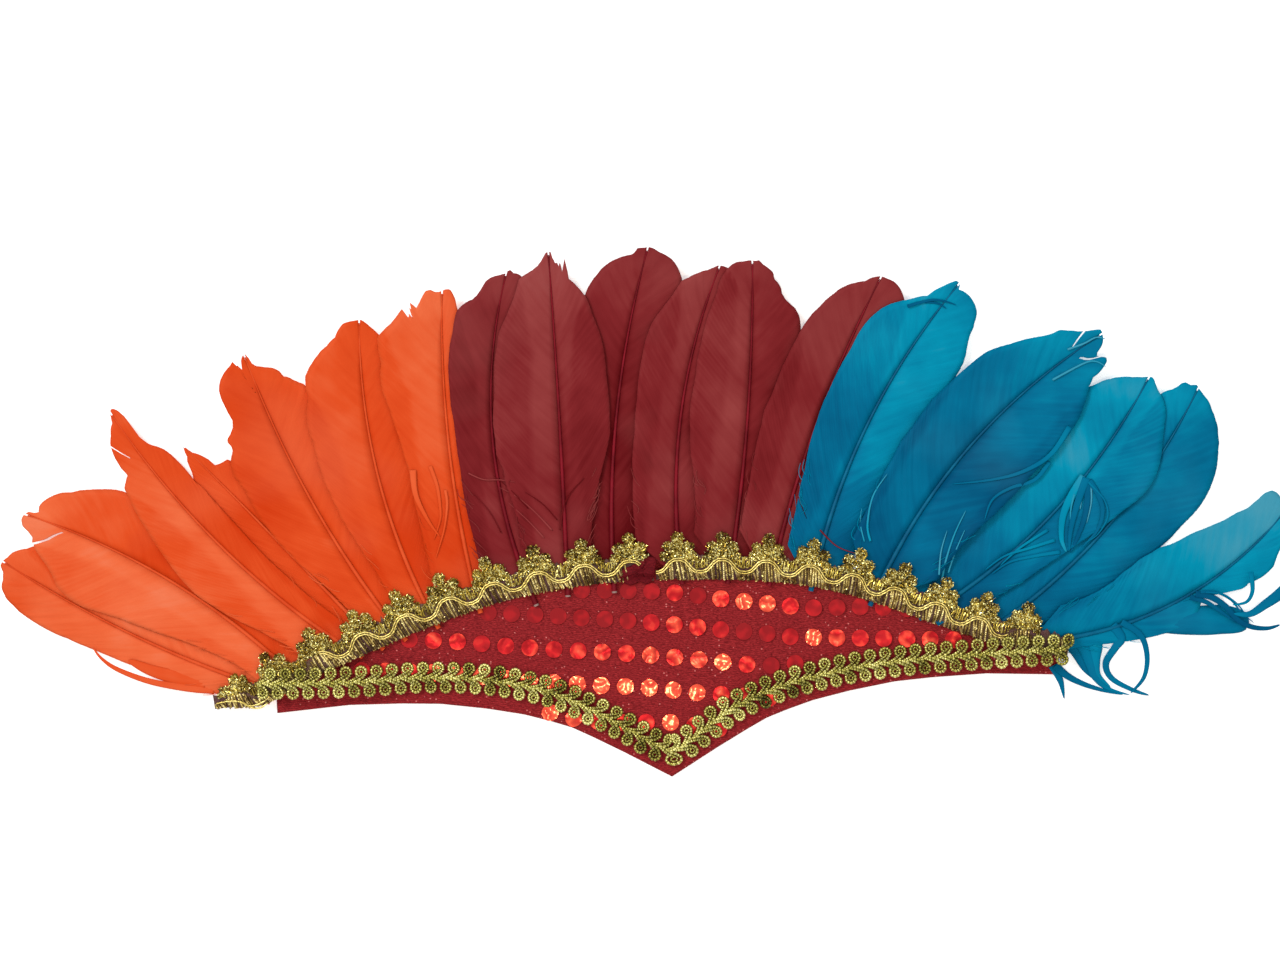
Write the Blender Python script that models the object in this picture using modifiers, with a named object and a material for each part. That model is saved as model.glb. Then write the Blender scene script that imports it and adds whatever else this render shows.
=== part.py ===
# Carnival feather headdress: a sequinned cloth plaque with gold lace, gold gimp braid and eighteen feathers
# Metres; seen from the front, +X is right, +Y is up towards the feather tips, +Z comes out of the front
import bpy
import bmesh
import math
from mathutils import Vector

# Plaque
PLAQUE_WIDTH = 0.276
PLAQUE_THICKNESS = 0.0020
PLAQUE_EDGE_ROUND = 0.0006
SEQUIN_DIAMETER = 0.0060
SEQUIN_THICKNESS = 0.0003
SEQUIN_SIDES = 8
FIT_GAP = 0.0003

# Lace, measured across the band from its wavy cord line
LACE_BELOW_CORD = 0.0054
LACE_ABOVE_CORD = 0.0126
LACE_THICKNESS = 0.0010
LACE_RISE = 0.09
LOBE_PITCH = 0.0162
LACE_END_SHARE = 0.55
LACE_END_START = 0.143
LACE_END_FULL = 0.157
CORD_WIDTH = 0.0019
CORD_THICKNESS = 0.0009
CORD_SWING = 0.0020
CORD_PAST_CLIMB = 0.009

# Gimp braid
GIMP_WIDTH = 0.0115
GIMP_WAIST = 0.0078
GIMP_THICKNESS = 0.0018
GIMP_CROWN = 0.0006
GIMP_SIDE_SHARE = 0.7
LOOP_PITCH = 0.0053
GIMP_CLIMB_START = 0.088
GIMP_CLIMB_END = 0.112

# Feathers
QUILL_DIAMETER = 0.0020
QUILL_TIP_DIAMETER = 0.0009
QUILL_TAIL = 0.0065
TAIL_BLEND = 0.0024
VANE_THICKNESS = 0.0007
VANE_WIDTH_SCALE = 1.0
FEATHER_LENGTH_SCALE = 1.0
VANE_BASE_HALF_WIDTH = 0.0055
VANE_BASE_FLARE = 0.95
VANE_LEAST_HALF_WIDTH = 0.0008
LEAVE_RISE = 0.0004
REST_HEIGHT = 0.0023
TIP_LIFT = 0.0070
TILT_AT_LACE = 0.13
TILT_AT_TIPS = 0.065
TILT_DISTANCE = 0.080
REST_DISTANCE = 0.034
LIFT_DISTANCE = 0.050
TIP_DISTANCE = 0.115

# Plan positions below are millimetres on a plaque of the first width and scale with it
PLAN = PLAQUE_WIDTH / 276.0

# Lower edge of one half of the plaque, from the point of the V out to the end: across, up
PLAQUE_LOWER = [(0, -29.4), (16.6, -19.8), (27.2, -14.0), (34.6, -10.2), (42, -7.6), (51.2, -4.8),
                (64.2, -2.1), (80.5, 0.4), (94.2, 1.2), (113, 1.6), (138, 0)]
# Upper edge of one half, from the end in to the middle: across, up
PLAQUE_UPPER = [(139.5, 5.5), (138.5, 11.2), (128, 15.8), (113, 21.2), (96, 27.9), (78, 34.6), (58, 40.6),
                (42, 44.0), (26, 46.2), (0, 47.6)]

# Line of the lace's wavy cord, left to right: across, up
LACE_LINE = [(-160, 5.6), (-150, 6.6), (-141, 9.2), (-128.6, 15.7), (-113, 22.0), (-95, 28.9),
             (-77, 35.1), (-57.4, 40.6), (-41.3, 43.4), (-25.3, 45.0), (-7.6, 45.6), (13.5, 45.0),
             (31, 43.8), (48.7, 41.4), (66, 37.2), (83.5, 30.6), (97.3, 24.8), (113, 18.6), (132, 12.9),
             (144, 9.3)]
# Each length of lace as across positions: first and last lobe valley, and where a plain end piece stops
LACE_LENGTHS = {"lace_left": (-160.0, -2.9, -2.9), "lace_right": (-2.0, 133.0, 142.0)}
# One trefoil lobe from valley to valley: along (share of the pitch), height (share of LACE_ABOVE_CORD)
LOBE = [(-0.50, 0.31), (-0.37, 0.36), (-0.31, 0.68), (-0.18, 0.69), (-0.11, 0.98), (0.11, 0.98),
        (0.18, 0.69), (0.31, 0.68), (0.37, 0.36)]

# Centre line of the gimp braid, left to right: across, up
GIMP_LINE = [(-143.5, 11.4), (-128.8, 10.6), (-107, 10.2), (-85.4, 10.2), (-63.9, 8.4), (-43, 3.4),
             (-28.8, -3.3), (-16.1, -10.6), (-6.4, -16.8), (1.2, -19.6), (8.8, -15.2), (17.6, -9.0),
             (26, -4.2), (40.7, 1.2), (55.4, 4.5), (69.3, 6.6), (85.6, 7.9), (104.7, 8.8), (119.2, 9.2),
             (143, 9.2)]

# Sequin rows, top to bottom: number of sequins, then points that the row passes through (across, up)
SEQUIN_ROWS = [
    (13, [(-11.9, 37.2), (4.6, 35.6), (20.7, 32.7), (36.8, 30.2), (53.0, 27.9), (68.9, 27.5),
          (85.8, 26.0)]),
    (21, [(-62.0, 31.9), (-46.2, 30.4), (-29.3, 28.5), (-12.8, 26.6), (3.7, 24.4), (20.2, 21.8),
          (36.7, 19.6), (44.7, 18.1), (61.6, 16.9), (81.7, 15.6), (101.8, 14.2)]),
    (17, [(-91.1, 23.8), (-73.8, 22.2), (-56.6, 19.8), (-39.4, 17.7), (-22.5, 15.9), (-5.7, 14.0),
          (11.2, 11.6), (27.7, 9.1), (36.1, 8.3), (44.8, 8.6)]),
    (20, [(-107.8, 13.7), (-82.5, 11.7), (-57.2, 8.3), (-40.3, 6.1), (-23.5, 4.2), (-6.6, 2.6),
          (10.3, 0.0), (26.8, -1.9), (44.1, -4.3), (52.5, -3.5)]),
    (9, [(-41.9, -4.5), (-33.2, -7.0), (-16.7, -9.2), (0.4, -10.1), (17.4, -13.1), (25.9, -13.1)]),
]

# Feathers. seat: where the quill crosses the lace line (across, mm); lean: degrees from straight up,
# to the right; length: mm from the lace line to the tip; bow: sideways bend of the quill (share of
# the length, to the right); left, right: vane half widths in mm at the heights in WIDTH_STATIONS;
# left_over, right_over: whether that side of the vane lies over its neighbour or under it
WIDTH_STATIONS = (0.15, 0.45, 0.75, 0.93)
COLUMNS = ("name", "seat", "lean", "length", "bow", "left", "right", "left_over", "right_over")
FEATHERS = [dict(zip(COLUMNS, row)) for row in [
    ("feather_orange_1", -141.0, -61.5, 104.2, -0.037, (8, 14, 14.5, 10.5), (8, 15, 17, 11.5), False, False),
    ("feather_orange_2", -132.2, -56.3, 110.2, 0.054, (10, 18, 24, 12.5), (8, 15, 22, 10), True, False),
    ("feather_orange_3", -112.5, -42.0, 118.1, -0.055, (11, 19, 13.5, 7), (7, 9, 10.5, 3), True, True),
    ("feather_orange_4", -103.8, -41.6, 94.5, 0.000, (7, 9, 7, 3), (8, 14, 12.5, 3.5), False, False),
    ("feather_orange_5", -95.2, -26.0, 108.0, -0.042, (9, 18, 20.5, 13.5), (8, 15, 19, 12), True, False),
    ("feather_orange_6", -82.6, -10.6, 105.4, -0.064, (10, 18, 21.5, 11), (9, 15, 17, 10), True, False),
    ("feather_orange_7", -66.0, -3.3, 109.0, -0.036, (13.5, 15, 23.5, 12), (8, 12, 12, 5.5), True, False),
    ("feather_red_1", -48.0, -0.6, 110.0, -0.081, (13, 12.5, 16, 10.5), (8, 14, 15, 7), True, False),
    ("feather_red_2", -33.5, -0.4, 113.8, 0.003, (16, 24, 20.5, 9), (9, 18.5, 17, 6.5), True, True),
    ("feather_red_3", -17.2, 9.1, 114.0, -0.041, (9, 16, 20, 12), (12, 15, 18, 14.5), False, False),
    ("feather_red_4", 6.5, 10.4, 106.8, -0.062, (15, 16, 17.6, 9), (9.5, 14, 15, 9), True, False),
    ("feather_red_5", 24.4, 6.8, 107.9, 0.022, (14.5, 21, 18, 11), (8, 14, 19, 12), True, False),
    ("feather_red_6", 39.4, 23.0, 108.2, -0.029, (15, 18.8, 18.5, 10.5), (8, 14, 17, 13.5), True, False),
    ("feather_blue_1", 54.0, 29.2, 113.8, -0.058, (12, 17.5, 18.5, 8), (12, 18.5, 20, 13.5), True, False),
    ("feather_blue_2", 75.9, 44.0, 119.6, -0.071, (16, 21, 20, 9), (17, 23, 22.5, 12), True, True),
    ("feather_blue_3", 95.9, 45.3, 110.9, 0.071, (14.5, 22, 20, 12.5), (8, 13, 22, 10.5), False, True),
    ("feather_blue_4", 115.7, 43.1, 112.0, 0.071, (8, 12, 14, 10.6), (10, 18, 23, 12), False, False),
    ("feather_blue_5", 133.9, 64.0, 98.5, 0.107, (12, 20.5, 16.5, 10), (4, 11, 15.5, 7.5), True, False),
]]
FEATHER_SECTIONS = (0.0, 0.04, 0.15, 0.30, 0.45, 0.60, 0.75, 0.86, 0.93, 0.98, 1.0)

# Colours: linear red, green, blue
COLOURS = {
    "sequin_cloth": (0.24, 0.012, 0.022),
    "gold_lace": (0.36, 0.24, 0.045),
    "gold_gimp": (0.38, 0.30, 0.05),
    "feather_orange": (0.82, 0.11, 0.03),
    "feather_red": (0.22, 0.012, 0.018),
    "feather_blue": (0.0, 0.22, 0.42),
}


def start_empty():
    for item in list(bpy.data.objects):
        bpy.data.objects.remove(item, do_unlink=True)
    made = bpy.data.collections.new("carnival_feather_headdress")
    bpy.context.scene.collection.children.link(made)
    return made


def material(slot, metal, rough):
    made = bpy.data.materials.new(slot)
    made.use_nodes = True
    shader = made.node_tree.nodes["Principled BSDF"]
    shader.inputs["Base Color"].default_value = (*COLOURS[slot], 1.0)
    shader.inputs["Metallic"].default_value = metal
    shader.inputs["Roughness"].default_value = rough
    return made


def ease(low, high, value):
    share = min(1.0, max(0.0, (value - low) / (high - low)))
    return share * share * (3 - 2 * share)


def smooth_line(points, per_span):
    # A smooth curve through the points, as a list of plan positions in metres
    line = []
    last = len(points) - 1
    for i in range(last):
        before = points[max(i - 1, 0)]
        after = points[min(i + 2, last)]
        for j in range(per_span + (i == last - 1)):
            t = j / per_span
            spot = []
            for axis in (0, 1):
                a, b, c, d = before[axis], points[i][axis], points[i + 1][axis], after[axis]
                value = 2 * b + (c - a) * t + (2 * a - 5 * b + 4 * c - d) * t * t
                value += (3 * b - a - 3 * c + d) * t ** 3
                spot.append(value / 2 * PLAN)
            line.append(Vector(spot))
    return line


def lengths_along(line):
    run = [0.0]
    for a, b in zip(line, line[1:]):
        run.append(run[-1] + (b - a).length)
    return run


def place_on(line, run, along):
    # Position and upward normal at a distance along a plan line
    along = min(max(along, 0.0), run[-1])
    i = 0
    while i < len(run) - 2 and run[i + 1] < along:
        i += 1
    share = (along - run[i]) / (run[i + 1] - run[i])
    spot = line[i].lerp(line[i + 1], share)
    ahead = (line[min(i + 2, len(line) - 1)] - line[max(i - 1, 0)]).normalized()
    return spot, Vector((-ahead.y, ahead.x))


def along_at(line, run, across):
    # Distance along a line that runs left to right at which it reaches an across position
    for i in range(len(line) - 1):
        if line[i].x <= across <= line[i + 1].x:
            share = (across - line[i].x) / (line[i + 1].x - line[i].x)
            return run[i] + share * (run[i + 1] - run[i])
    return 0.0 if across < line[0].x else run[-1]


def distance_beyond(line, x, y):
    # Distance of a plan position from the lace line, positive on the feathers' side
    spot = Vector((x, y))
    best, sign = 1e9, 1.0
    for a, b in zip(line, line[1:]):
        edge = b - a
        share = min(1.0, max(0.0, (spot - a).dot(edge) / edge.length_squared))
        away = spot - a.lerp(b, share)
        if away.length < best:
            best = away.length
            sign = 1.0 if edge.x * away.y - edge.y * away.x >= 0 else -1.0
    return sign * best


def finish_body(name, bm, slot, smooth):
    bmesh.ops.remove_doubles(bm, verts=bm.verts, dist=0.000005)
    bmesh.ops.recalc_face_normals(bm, faces=bm.faces)
    mesh = bpy.data.meshes.new(name)
    bm.to_mesh(mesh)
    bm.free()
    for face in mesh.polygons:
        face.use_smooth = smooth
    mesh.materials.append(MATERIALS[slot])
    made = bpy.data.objects.new(name, mesh)
    PART.objects.link(made)
    return made


def loft(name, rings, slot, smooth):
    # A closed body through rings of equal point count
    bm = bmesh.new()
    rows = [[bm.verts.new(point) for point in ring] for ring in rings]
    count = len(rings[0])
    for low, high in zip(rows, rows[1:]):
        for i in range(count):
            j = (i + 1) % count
            bm.faces.new((low[i], low[j], high[j], high[i]))
    bm.faces.new(rows[0])
    bm.faces.new(rows[-1])
    return finish_body(name, bm, slot, smooth)


# Feathers

def rachis_at(row, t):
    # Plan position of the quill at a share of its length, and the unit vector along it
    lean = math.radians(row["lean"])
    up = Vector((math.sin(lean), math.cos(lean)))
    side = Vector((math.cos(lean), -math.sin(lean)))
    length = feather_length(row)
    seat = seat_of(row)
    spot = seat + up * (length * t) + side * (length * row["bow"] * 4 * t * (1 - t))
    along = up + side * (row["bow"] * 4 * (1 - 2 * t))
    return spot, along.normalized()


def feather_length(row):
    return row["length"] * FEATHER_LENGTH_SCALE * PLAN


def seat_of(row):
    spot, _ = place_on(LACE, LACE_RUN, along_at(LACE, LACE_RUN, row["seat"] * PLAN))
    return spot


def half_width(row, side, t):
    # Vane half width at a share of the length, rounded off at the tip
    widths = row[side]
    last = WIDTH_STATIONS[-1]
    width = widths[0]
    for (a, wa), (b, wb) in zip(zip(WIDTH_STATIONS, widths), zip(WIDTH_STATIONS[1:], widths[1:])):
        if a <= t:
            width = wa + (wb - wa) * min(1.0, (t - a) / (b - a))
    if t > last:
        share = (t - last) / (1.0 - last)
        width = widths[-1] * math.sqrt(max(0.0, 1.0 - share * share))
    narrow = VANE_BASE_HALF_WIDTH + VANE_BASE_FLARE * max(0.0, t) * feather_length(row)
    return max(min(width * PLAN, narrow), VANE_LEAST_HALF_WIDTH) * VANE_WIDTH_SCALE


def middle_height(distance):
    # Height of every quill's centre at a distance beyond the lace line
    seat = PLAQUE_THICKNESS + FIT_GAP + QUILL_DIAMETER / 2
    leave = seat + LEAVE_RISE * ease(-0.006, 0.0, distance)
    rest = leave + (REST_HEIGHT - leave) * ease(0.0, REST_DISTANCE, distance)
    share = max(0.0, (distance - LIFT_DISTANCE) / (TIP_DISTANCE - LIFT_DISTANCE))
    return rest + TIP_LIFT * share * share


def vane_tilt(distance):
    return TILT_AT_LACE + (TILT_AT_TIPS - TILT_AT_LACE) * ease(0.0, TILT_DISTANCE, distance)


def vane_point(row, t, across):
    # A point of the vane's middle surface: across is metres beside the quill, positive to the right
    spot, along = rachis_at(row, t)
    side = Vector((along.y, -along.x))
    plan = spot + side * across
    distance = distance_beyond(LACE, plan.x, plan.y)
    over = row["right_over"] if across > 0 else row["left_over"]
    rise = vane_tilt(distance) * abs(across) * (1 if over else -1)
    return Vector((plan.x, plan.y, middle_height(distance) + rise))


def quill_radius(t):
    share = min(1.0, max(0.0, t))
    return (QUILL_DIAMETER + (QUILL_TIP_DIAMETER - QUILL_DIAMETER) * share ** 0.7) / 2


def vane_ring(row, t):
    left, right = half_width(row, "left", t), half_width(row, "right", t)
    radius = min(quill_radius(t), 0.7 * left, 0.7 * right)
    thick = VANE_THICKNESS / 2
    upper = [(-left, 0), (-0.8 * left, thick), (-radius, thick), (0, radius), (radius, thick),
             (0.8 * right, thick), (right, 0)]
    lower = [(0.8 * right, -thick), (radius, -thick), (0, -radius), (-radius, -thick), (-0.8 * left, -thick)]
    profile = upper + lower
    return [vane_point(row, t, across) + Vector((0, 0, height)) for across, height in profile]


def quill_ring(row, t):
    # The bare quill, round, with as many points as the vane's ring
    spot, along = rachis_at(row, t)
    side = Vector((along.y, -along.x))
    height = middle_height(distance_beyond(LACE, spot.x, spot.y))
    radius = QUILL_DIAMETER / 2
    ring = []
    for i in range(12):
        angle = math.pi - i * math.pi / 6
        plan = spot + side * (radius * math.cos(angle))
        ring.append(Vector((plan.x, plan.y, height + radius * math.sin(angle))))
    return ring


def feather(row):
    slot = row["name"].rsplit("_", 1)[0]
    length = feather_length(row)
    rings = [quill_ring(row, -QUILL_TAIL / length), quill_ring(row, -TAIL_BLEND / length)]
    rings += [vane_ring(row, t) for t in FEATHER_SECTIONS]
    return loft(row["name"], rings, slot, True)


# Plaque and sequins

def plaque():
    half = scaled_half(PLAQUE_LOWER) + scaled_half(PLAQUE_UPPER)
    bm = bmesh.new()
    low = [bm.verts.new((p.x, p.y, 0.0)) for p in half]
    face = bm.faces.new(low)
    bmesh.ops.recalc_face_normals(bm, faces=[face])
    top = bmesh.ops.extrude_face_region(bm, geom=[face])
    raised = [item for item in top["geom"] if isinstance(item, bmesh.types.BMVert)]
    for vert in raised:
        vert.co.z = PLAQUE_THICKNESS
    inner = [f for f in bm.faces if all(abs(v.co.x) < 1e-7 for v in f.verts)]
    bmesh.ops.delete(bm, geom=inner, context="FACES_ONLY")
    body = finish_body("plaque", bm, "sequin_cloth", False)
    mirror = body.modifiers.new("other_half", "MIRROR")
    mirror.merge_threshold = 0.00001
    rim = body.modifiers.new("rolled_rim", "BEVEL")
    rim.width = PLAQUE_EDGE_ROUND
    rim.segments = 1
    rim.limit_method = "ANGLE"
    rim.angle_limit = math.radians(60)
    add = body.modifiers.new("sewn_sequins", "BOOLEAN")
    add.operation = "UNION"
    add.solver = "EXACT"
    add.object = sequins()
    return body


def scaled_half(points):
    return [Vector((x * PLAN, y * PLAN)) for x, y in points]


def sequin_places():
    places = []
    for count, points in SEQUIN_ROWS:
        line = smooth_line(points, 8)
        run = lengths_along(line)
        for i in range(count):
            spot, _ = place_on(line, run, run[-1] * i / (count - 1))
            if on_plaque(spot):
                places.append(spot)
    return places


def on_plaque(spot):
    # True where a sequin lies fully on the cloth, inside the rim
    lower = height_of(PLAQUE_LOWER, abs(spot.x))
    upper = height_of(list(reversed(PLAQUE_UPPER)), abs(spot.x))
    margin = SEQUIN_DIAMETER / 2 + PLAQUE_EDGE_ROUND * 2
    ahead = height_of(PLAQUE_LOWER, abs(spot.x) + SEQUIN_DIAMETER)
    margin *= math.hypot(1.0, (ahead - lower) / SEQUIN_DIAMETER)
    return lower + margin < spot.y < upper - margin


def height_of(points, across):
    for (x0, y0), (x1, y1) in zip(points, points[1:]):
        if x0 * PLAN <= across <= x1 * PLAN:
            return (y0 + (y1 - y0) * (across / PLAN - x0) / (x1 - x0)) * PLAN
    return points[-1][1] * PLAN


def sequins():
    bm = bmesh.new()
    depth = SEQUIN_THICKNESS * 2
    for spot in sequin_places():
        made = bmesh.ops.create_cone(bm, cap_ends=True, segments=SEQUIN_SIDES, radius1=SEQUIN_DIAMETER / 2,
                                     radius2=SEQUIN_DIAMETER / 2, depth=depth)
        for vert in made["verts"]:
            vert.co += Vector((spot.x, spot.y, PLAQUE_THICKNESS))
    mesh = bpy.data.meshes.new("sequin_discs")
    bm.to_mesh(mesh)
    bm.free()
    made = bpy.data.objects.new("sequin_discs", mesh)
    CUTTERS.objects.link(made)
    made.hide_render = True
    made.display_type = "WIRE"
    return made


# Lace and its cord

def lace_bottom(beyond):
    # Height of the lace's underside: it climbs over the quills towards the lobe tips
    seat = PLAQUE_THICKNESS + 2 * FIT_GAP + QUILL_DIAMETER
    return seat + LACE_RISE * (beyond + LACE_BELOW_CORD)


def lace_stations(start, end, stop):
    # Distances along the lace with the height of its upper edge there
    count = max(1, round((end - start) / LOBE_PITCH))
    pitch = (end - start) / count
    stations = []
    for i in range(count):
        for along, height in LOBE:
            stations.append((start + (i + 0.5 + along) * pitch, height * LACE_ABOVE_CORD))
    stations.append((end, LOBE[0][1] * LACE_ABOVE_CORD))
    if stop > end + LACE_THICKNESS:
        stations.append((stop, LOBE[0][1] * LACE_ABOVE_CORD))
    return stations, pitch


def lace_share(across):
    # The band narrows where its end is folded under, past the plaque's end
    return 1 - (1 - LACE_END_SHARE) * ease(LACE_END_START, LACE_END_FULL, -across)


def lace_length(name):
    first, last, plain = LACE_LENGTHS[name]
    start = along_at(LACE, LACE_RUN, first * PLAN)
    end = along_at(LACE, LACE_RUN, last * PLAN)
    stations, pitch = lace_stations(start, end, along_at(LACE, LACE_RUN, plain * PLAN))
    rings = []
    for along, top in stations:
        spot, up = place_on(LACE, LACE_RUN, along)
        share = lace_share(spot.x)
        low, high = -LACE_BELOW_CORD * share, top * share
        ring = []
        for beyond, lift in ((low, 0), (high, 0), (high, LACE_THICKNESS), (low, LACE_THICKNESS)):
            plan = spot + up * beyond
            ring.append(Vector((plan.x, plan.y, lace_bottom(beyond) + lift)))
        rings.append(ring)
    loft(name, rings, "gold_lace", False)
    wave_cord(name.replace("lace", "wave_cord"), start, end, pitch)


def wave_cord(name, start, end, pitch):
    # The double cord as one flat wavy strand lying on the lace, short of the gimp's ends
    limit = GIMP_CLIMB_END + CORD_PAST_CLIMB
    first = start
    start = max(start, along_at(LACE, LACE_RUN, -limit))
    end = min(end, along_at(LACE, LACE_RUN, limit))
    steps = round((end - start) / pitch * 6)
    rings = []
    for i in range(steps + 1):
        along = start + (end - start) * i / steps
        spot, up = place_on(LACE, LACE_RUN, along)
        turn = (along - first) / pitch * 2 * math.pi
        beyond = -CORD_SWING * math.cos(turn)
        slope = CORD_SWING * math.sin(turn) * 2 * math.pi / pitch
        right = Vector((up.y, -up.x))
        across = (up - right * slope).normalized()
        base = lace_bottom(beyond) + LACE_THICKNESS + FIT_GAP
        ring = []
        for share, lift in ((-0.5, 0), (0.5, 0), (0.3, 1), (-0.3, 1)):
            plan = spot + up * beyond + across * (share * CORD_WIDTH)
            tilt = LACE_RISE * (plan - spot - up * beyond).dot(up)
            ring.append(Vector((plan.x, plan.y, base + tilt + lift * CORD_THICKNESS)))
        rings.append(ring)
    return loft(name, rings, "gold_lace", False)


# Gimp braid

def gimp_bottom(across):
    low = PLAQUE_THICKNESS + SEQUIN_THICKNESS + FIT_GAP
    high = lace_bottom(GIMP_WIDTH * 0.7) + LACE_THICKNESS + FIT_GAP
    return low + (high - low) * ease(GIMP_CLIMB_START, GIMP_CLIMB_END, abs(across))


def gimp():
    line = smooth_line(GIMP_LINE, 6)
    run = lengths_along(line)
    loops = round(run[-1] / LOOP_PITCH)
    rings = []
    for i in range(loops * 3 + 1):
        along = run[-1] * i / (loops * 3)
        spot, up = place_on(line, run, along)
        reach = (GIMP_WAIST if i % 3 == 0 else GIMP_WIDTH) / 2
        ring = []
        for beyond, lift in ((-reach, 0), (reach, 0), (reach, GIMP_SIDE_SHARE * GIMP_THICKNESS),
                             (0, GIMP_THICKNESS + GIMP_CROWN), (-reach, GIMP_SIDE_SHARE * GIMP_THICKNESS)):
            plan = spot + up * beyond
            ring.append(Vector((plan.x, plan.y, gimp_bottom(spot.x) + lift)))
        rings.append(ring)
    return loft("gimp_braid", rings, "gold_gimp", False)


PART = start_empty()
CUTTERS = bpy.data.collections.new("shapes_added_to_the_plaque")
bpy.context.scene.collection.children.link(CUTTERS)
MATERIALS = {
    "sequin_cloth": material("sequin_cloth", 0.0, 0.7),
    "gold_lace": material("gold_lace", 0.6, 0.45),
    "gold_gimp": material("gold_gimp", 0.6, 0.45),
    "feather_orange": material("feather_orange", 0.0, 0.6),
    "feather_red": material("feather_red", 0.0, 0.6),
    "feather_blue": material("feather_blue", 0.0, 0.6),
}
LACE = smooth_line(LACE_LINE, 6)
LACE_RUN = lengths_along(LACE)
plaque()
for lace_name in LACE_LENGTHS:
    lace_length(lace_name)
gimp()
for feather_row in FEATHERS:
    feather(feather_row)
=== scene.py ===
# Looks of the carnival feather headdress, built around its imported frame
# Metres, in the frame's axes: +X right, +Y towards the feather tips, +Z out of the front
import math

import bpy
import numpy as np
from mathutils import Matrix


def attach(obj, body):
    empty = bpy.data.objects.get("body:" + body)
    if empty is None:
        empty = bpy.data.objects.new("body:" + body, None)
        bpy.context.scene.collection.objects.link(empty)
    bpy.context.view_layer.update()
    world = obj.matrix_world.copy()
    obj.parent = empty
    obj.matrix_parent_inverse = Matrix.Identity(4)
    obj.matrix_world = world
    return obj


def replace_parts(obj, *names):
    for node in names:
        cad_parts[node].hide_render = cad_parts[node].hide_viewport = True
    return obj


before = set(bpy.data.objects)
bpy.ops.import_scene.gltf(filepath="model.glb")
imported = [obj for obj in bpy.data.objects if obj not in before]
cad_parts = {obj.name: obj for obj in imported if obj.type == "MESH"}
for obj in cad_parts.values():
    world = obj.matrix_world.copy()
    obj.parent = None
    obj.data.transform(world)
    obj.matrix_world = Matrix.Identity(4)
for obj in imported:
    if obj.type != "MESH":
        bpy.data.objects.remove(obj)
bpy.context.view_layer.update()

# Driving sizes, the same as the frame's
PLAQUE_WIDTH = 0.276
PLAQUE_THICKNESS = 0.0020
SEQUIN_DIAMETER = 0.0060
FIT_GAP = 0.0003
LACE_BELOW_CORD = 0.0054
LACE_ABOVE_CORD = 0.0126
LACE_THICKNESS = 0.0010
LACE_RISE = 0.09
LOBE_PITCH = 0.0162
LACE_END_SHARE = 0.55
LACE_END_START = 0.143
LACE_END_FULL = 0.157
CORD_SWING = 0.0020
CORD_PAST_CLIMB = 0.009
GIMP_WIDTH = 0.0115
LOOP_PITCH = 0.0053
GIMP_CLIMB_START = 0.088
GIMP_CLIMB_END = 0.112
QUILL_DIAMETER = 0.0020
QUILL_TIP_DIAMETER = 0.0009
QUILL_TAIL = 0.0065
VANE_BASE_HALF_WIDTH = 0.0055
VANE_BASE_FLARE = 0.95
LEAVE_RISE = 0.0004
LEAVE_START = -0.006
REST_HEIGHT = 0.0023
TIP_LIFT = 0.0070
TILT_AT_LACE = 0.13
TILT_AT_TIPS = 0.065
TILT_DISTANCE = 0.080
REST_DISTANCE = 0.034
LIFT_DISTANCE = 0.050
TIP_DISTANCE = 0.115
PLAN = PLAQUE_WIDTH / 276.0

# Fine sizes, counts and shares that only the looks have
VANE_SHEET = 0.00020
VANE_WAVE = 0.00012
VANE_WAVES = 21.0
# Painted shade where another feather backs a vane
OVERLAP_SHADE = 0.26
OVERLAP_SHADE_LEVEL = 0.4
# Painted shade beside the quill
QUILL_PAINTED_SHADE = 0.14
QUILL_FADE = 0.06
# Painted light at the thin edge of a vane
EDGE_PAINTED_LIGHT = 0.10
BARB_ROWS = 230
BARB_COLUMNS = 10
BARB_SWEEP = 0.26
CROWN_PIVOT = 0.70
HAIR = 0.00009
DOWN_ALONG = (0.04, 0.30)
DOWN_ACROSS = (0.75, 0.98)
DOWN_LIFT = (0.0002, 0.0005)
GRAIN = 0.00033
CHENILLE = 0.00060
FRINGE_BAR = 0.00040
FRINGE_PITCH = 0.00100
FRINGE_STRAY = 0.12
FRINGE_TUCK = 0.0002
FRINGE_STEPS = 5
FRINGE_LEAN = 0.0010
FRINGE_LEAN_STRAY = 0.0004
FRINGE_LIFT = 0.00062
FRINGE_BOW = 0.00025
FRINGE_LIFT_STRAY = 0.00008
FRINGE_TAPER = 0.12
FRINGE_GRAINS = 7
FRINGE_GRAIN_STRAY = 0.0002
WAVE_CORD = 0.00062
WAVE_GAP = 0.00076
WAVE_SWELL = 1.1
LOOP_CORD = 0.00056
LOOP_RADIUS = 0.00172
LOOP_REACH = 0.00340
LOOP_LEAD = 0.0050
LOOP_LEAD_RUN = 0.0060
PLY_LEAD = 0.0052
PLY_LEAD_RUN = 0.0040
LEAD_STEPS = 12
RING_STEPS = 22
CURL_STEPS = 16
CURL_RADII = (0.00086, 0.00060)
CURL_CORD_SHARE = 0.62
LOOP_ARCH = 0.0009
LEAD_ASIDE = -0.0005
LEAD_SPREAD = 0.0022
LEAD_HEIGHT = 0.0011
PLY_ASIDE = 0.0001
PLY_SPREAD = 0.0016
PLY_HEIGHT = 0.0013
PLY_CORD_SHARE = 0.8
RING_TURN = (-1.0, 1.40 * math.pi)
RING_HEIGHT = 0.00085
RING_TILT = 0.0002
CURL_TURN = (1.55, 3.5)
CURL_HEIGHT = 0.0007
BEAD_SWELL = 0.12
LOOP_TONE = 0.52
LOOP_TONE_STRAY = 0.12
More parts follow.
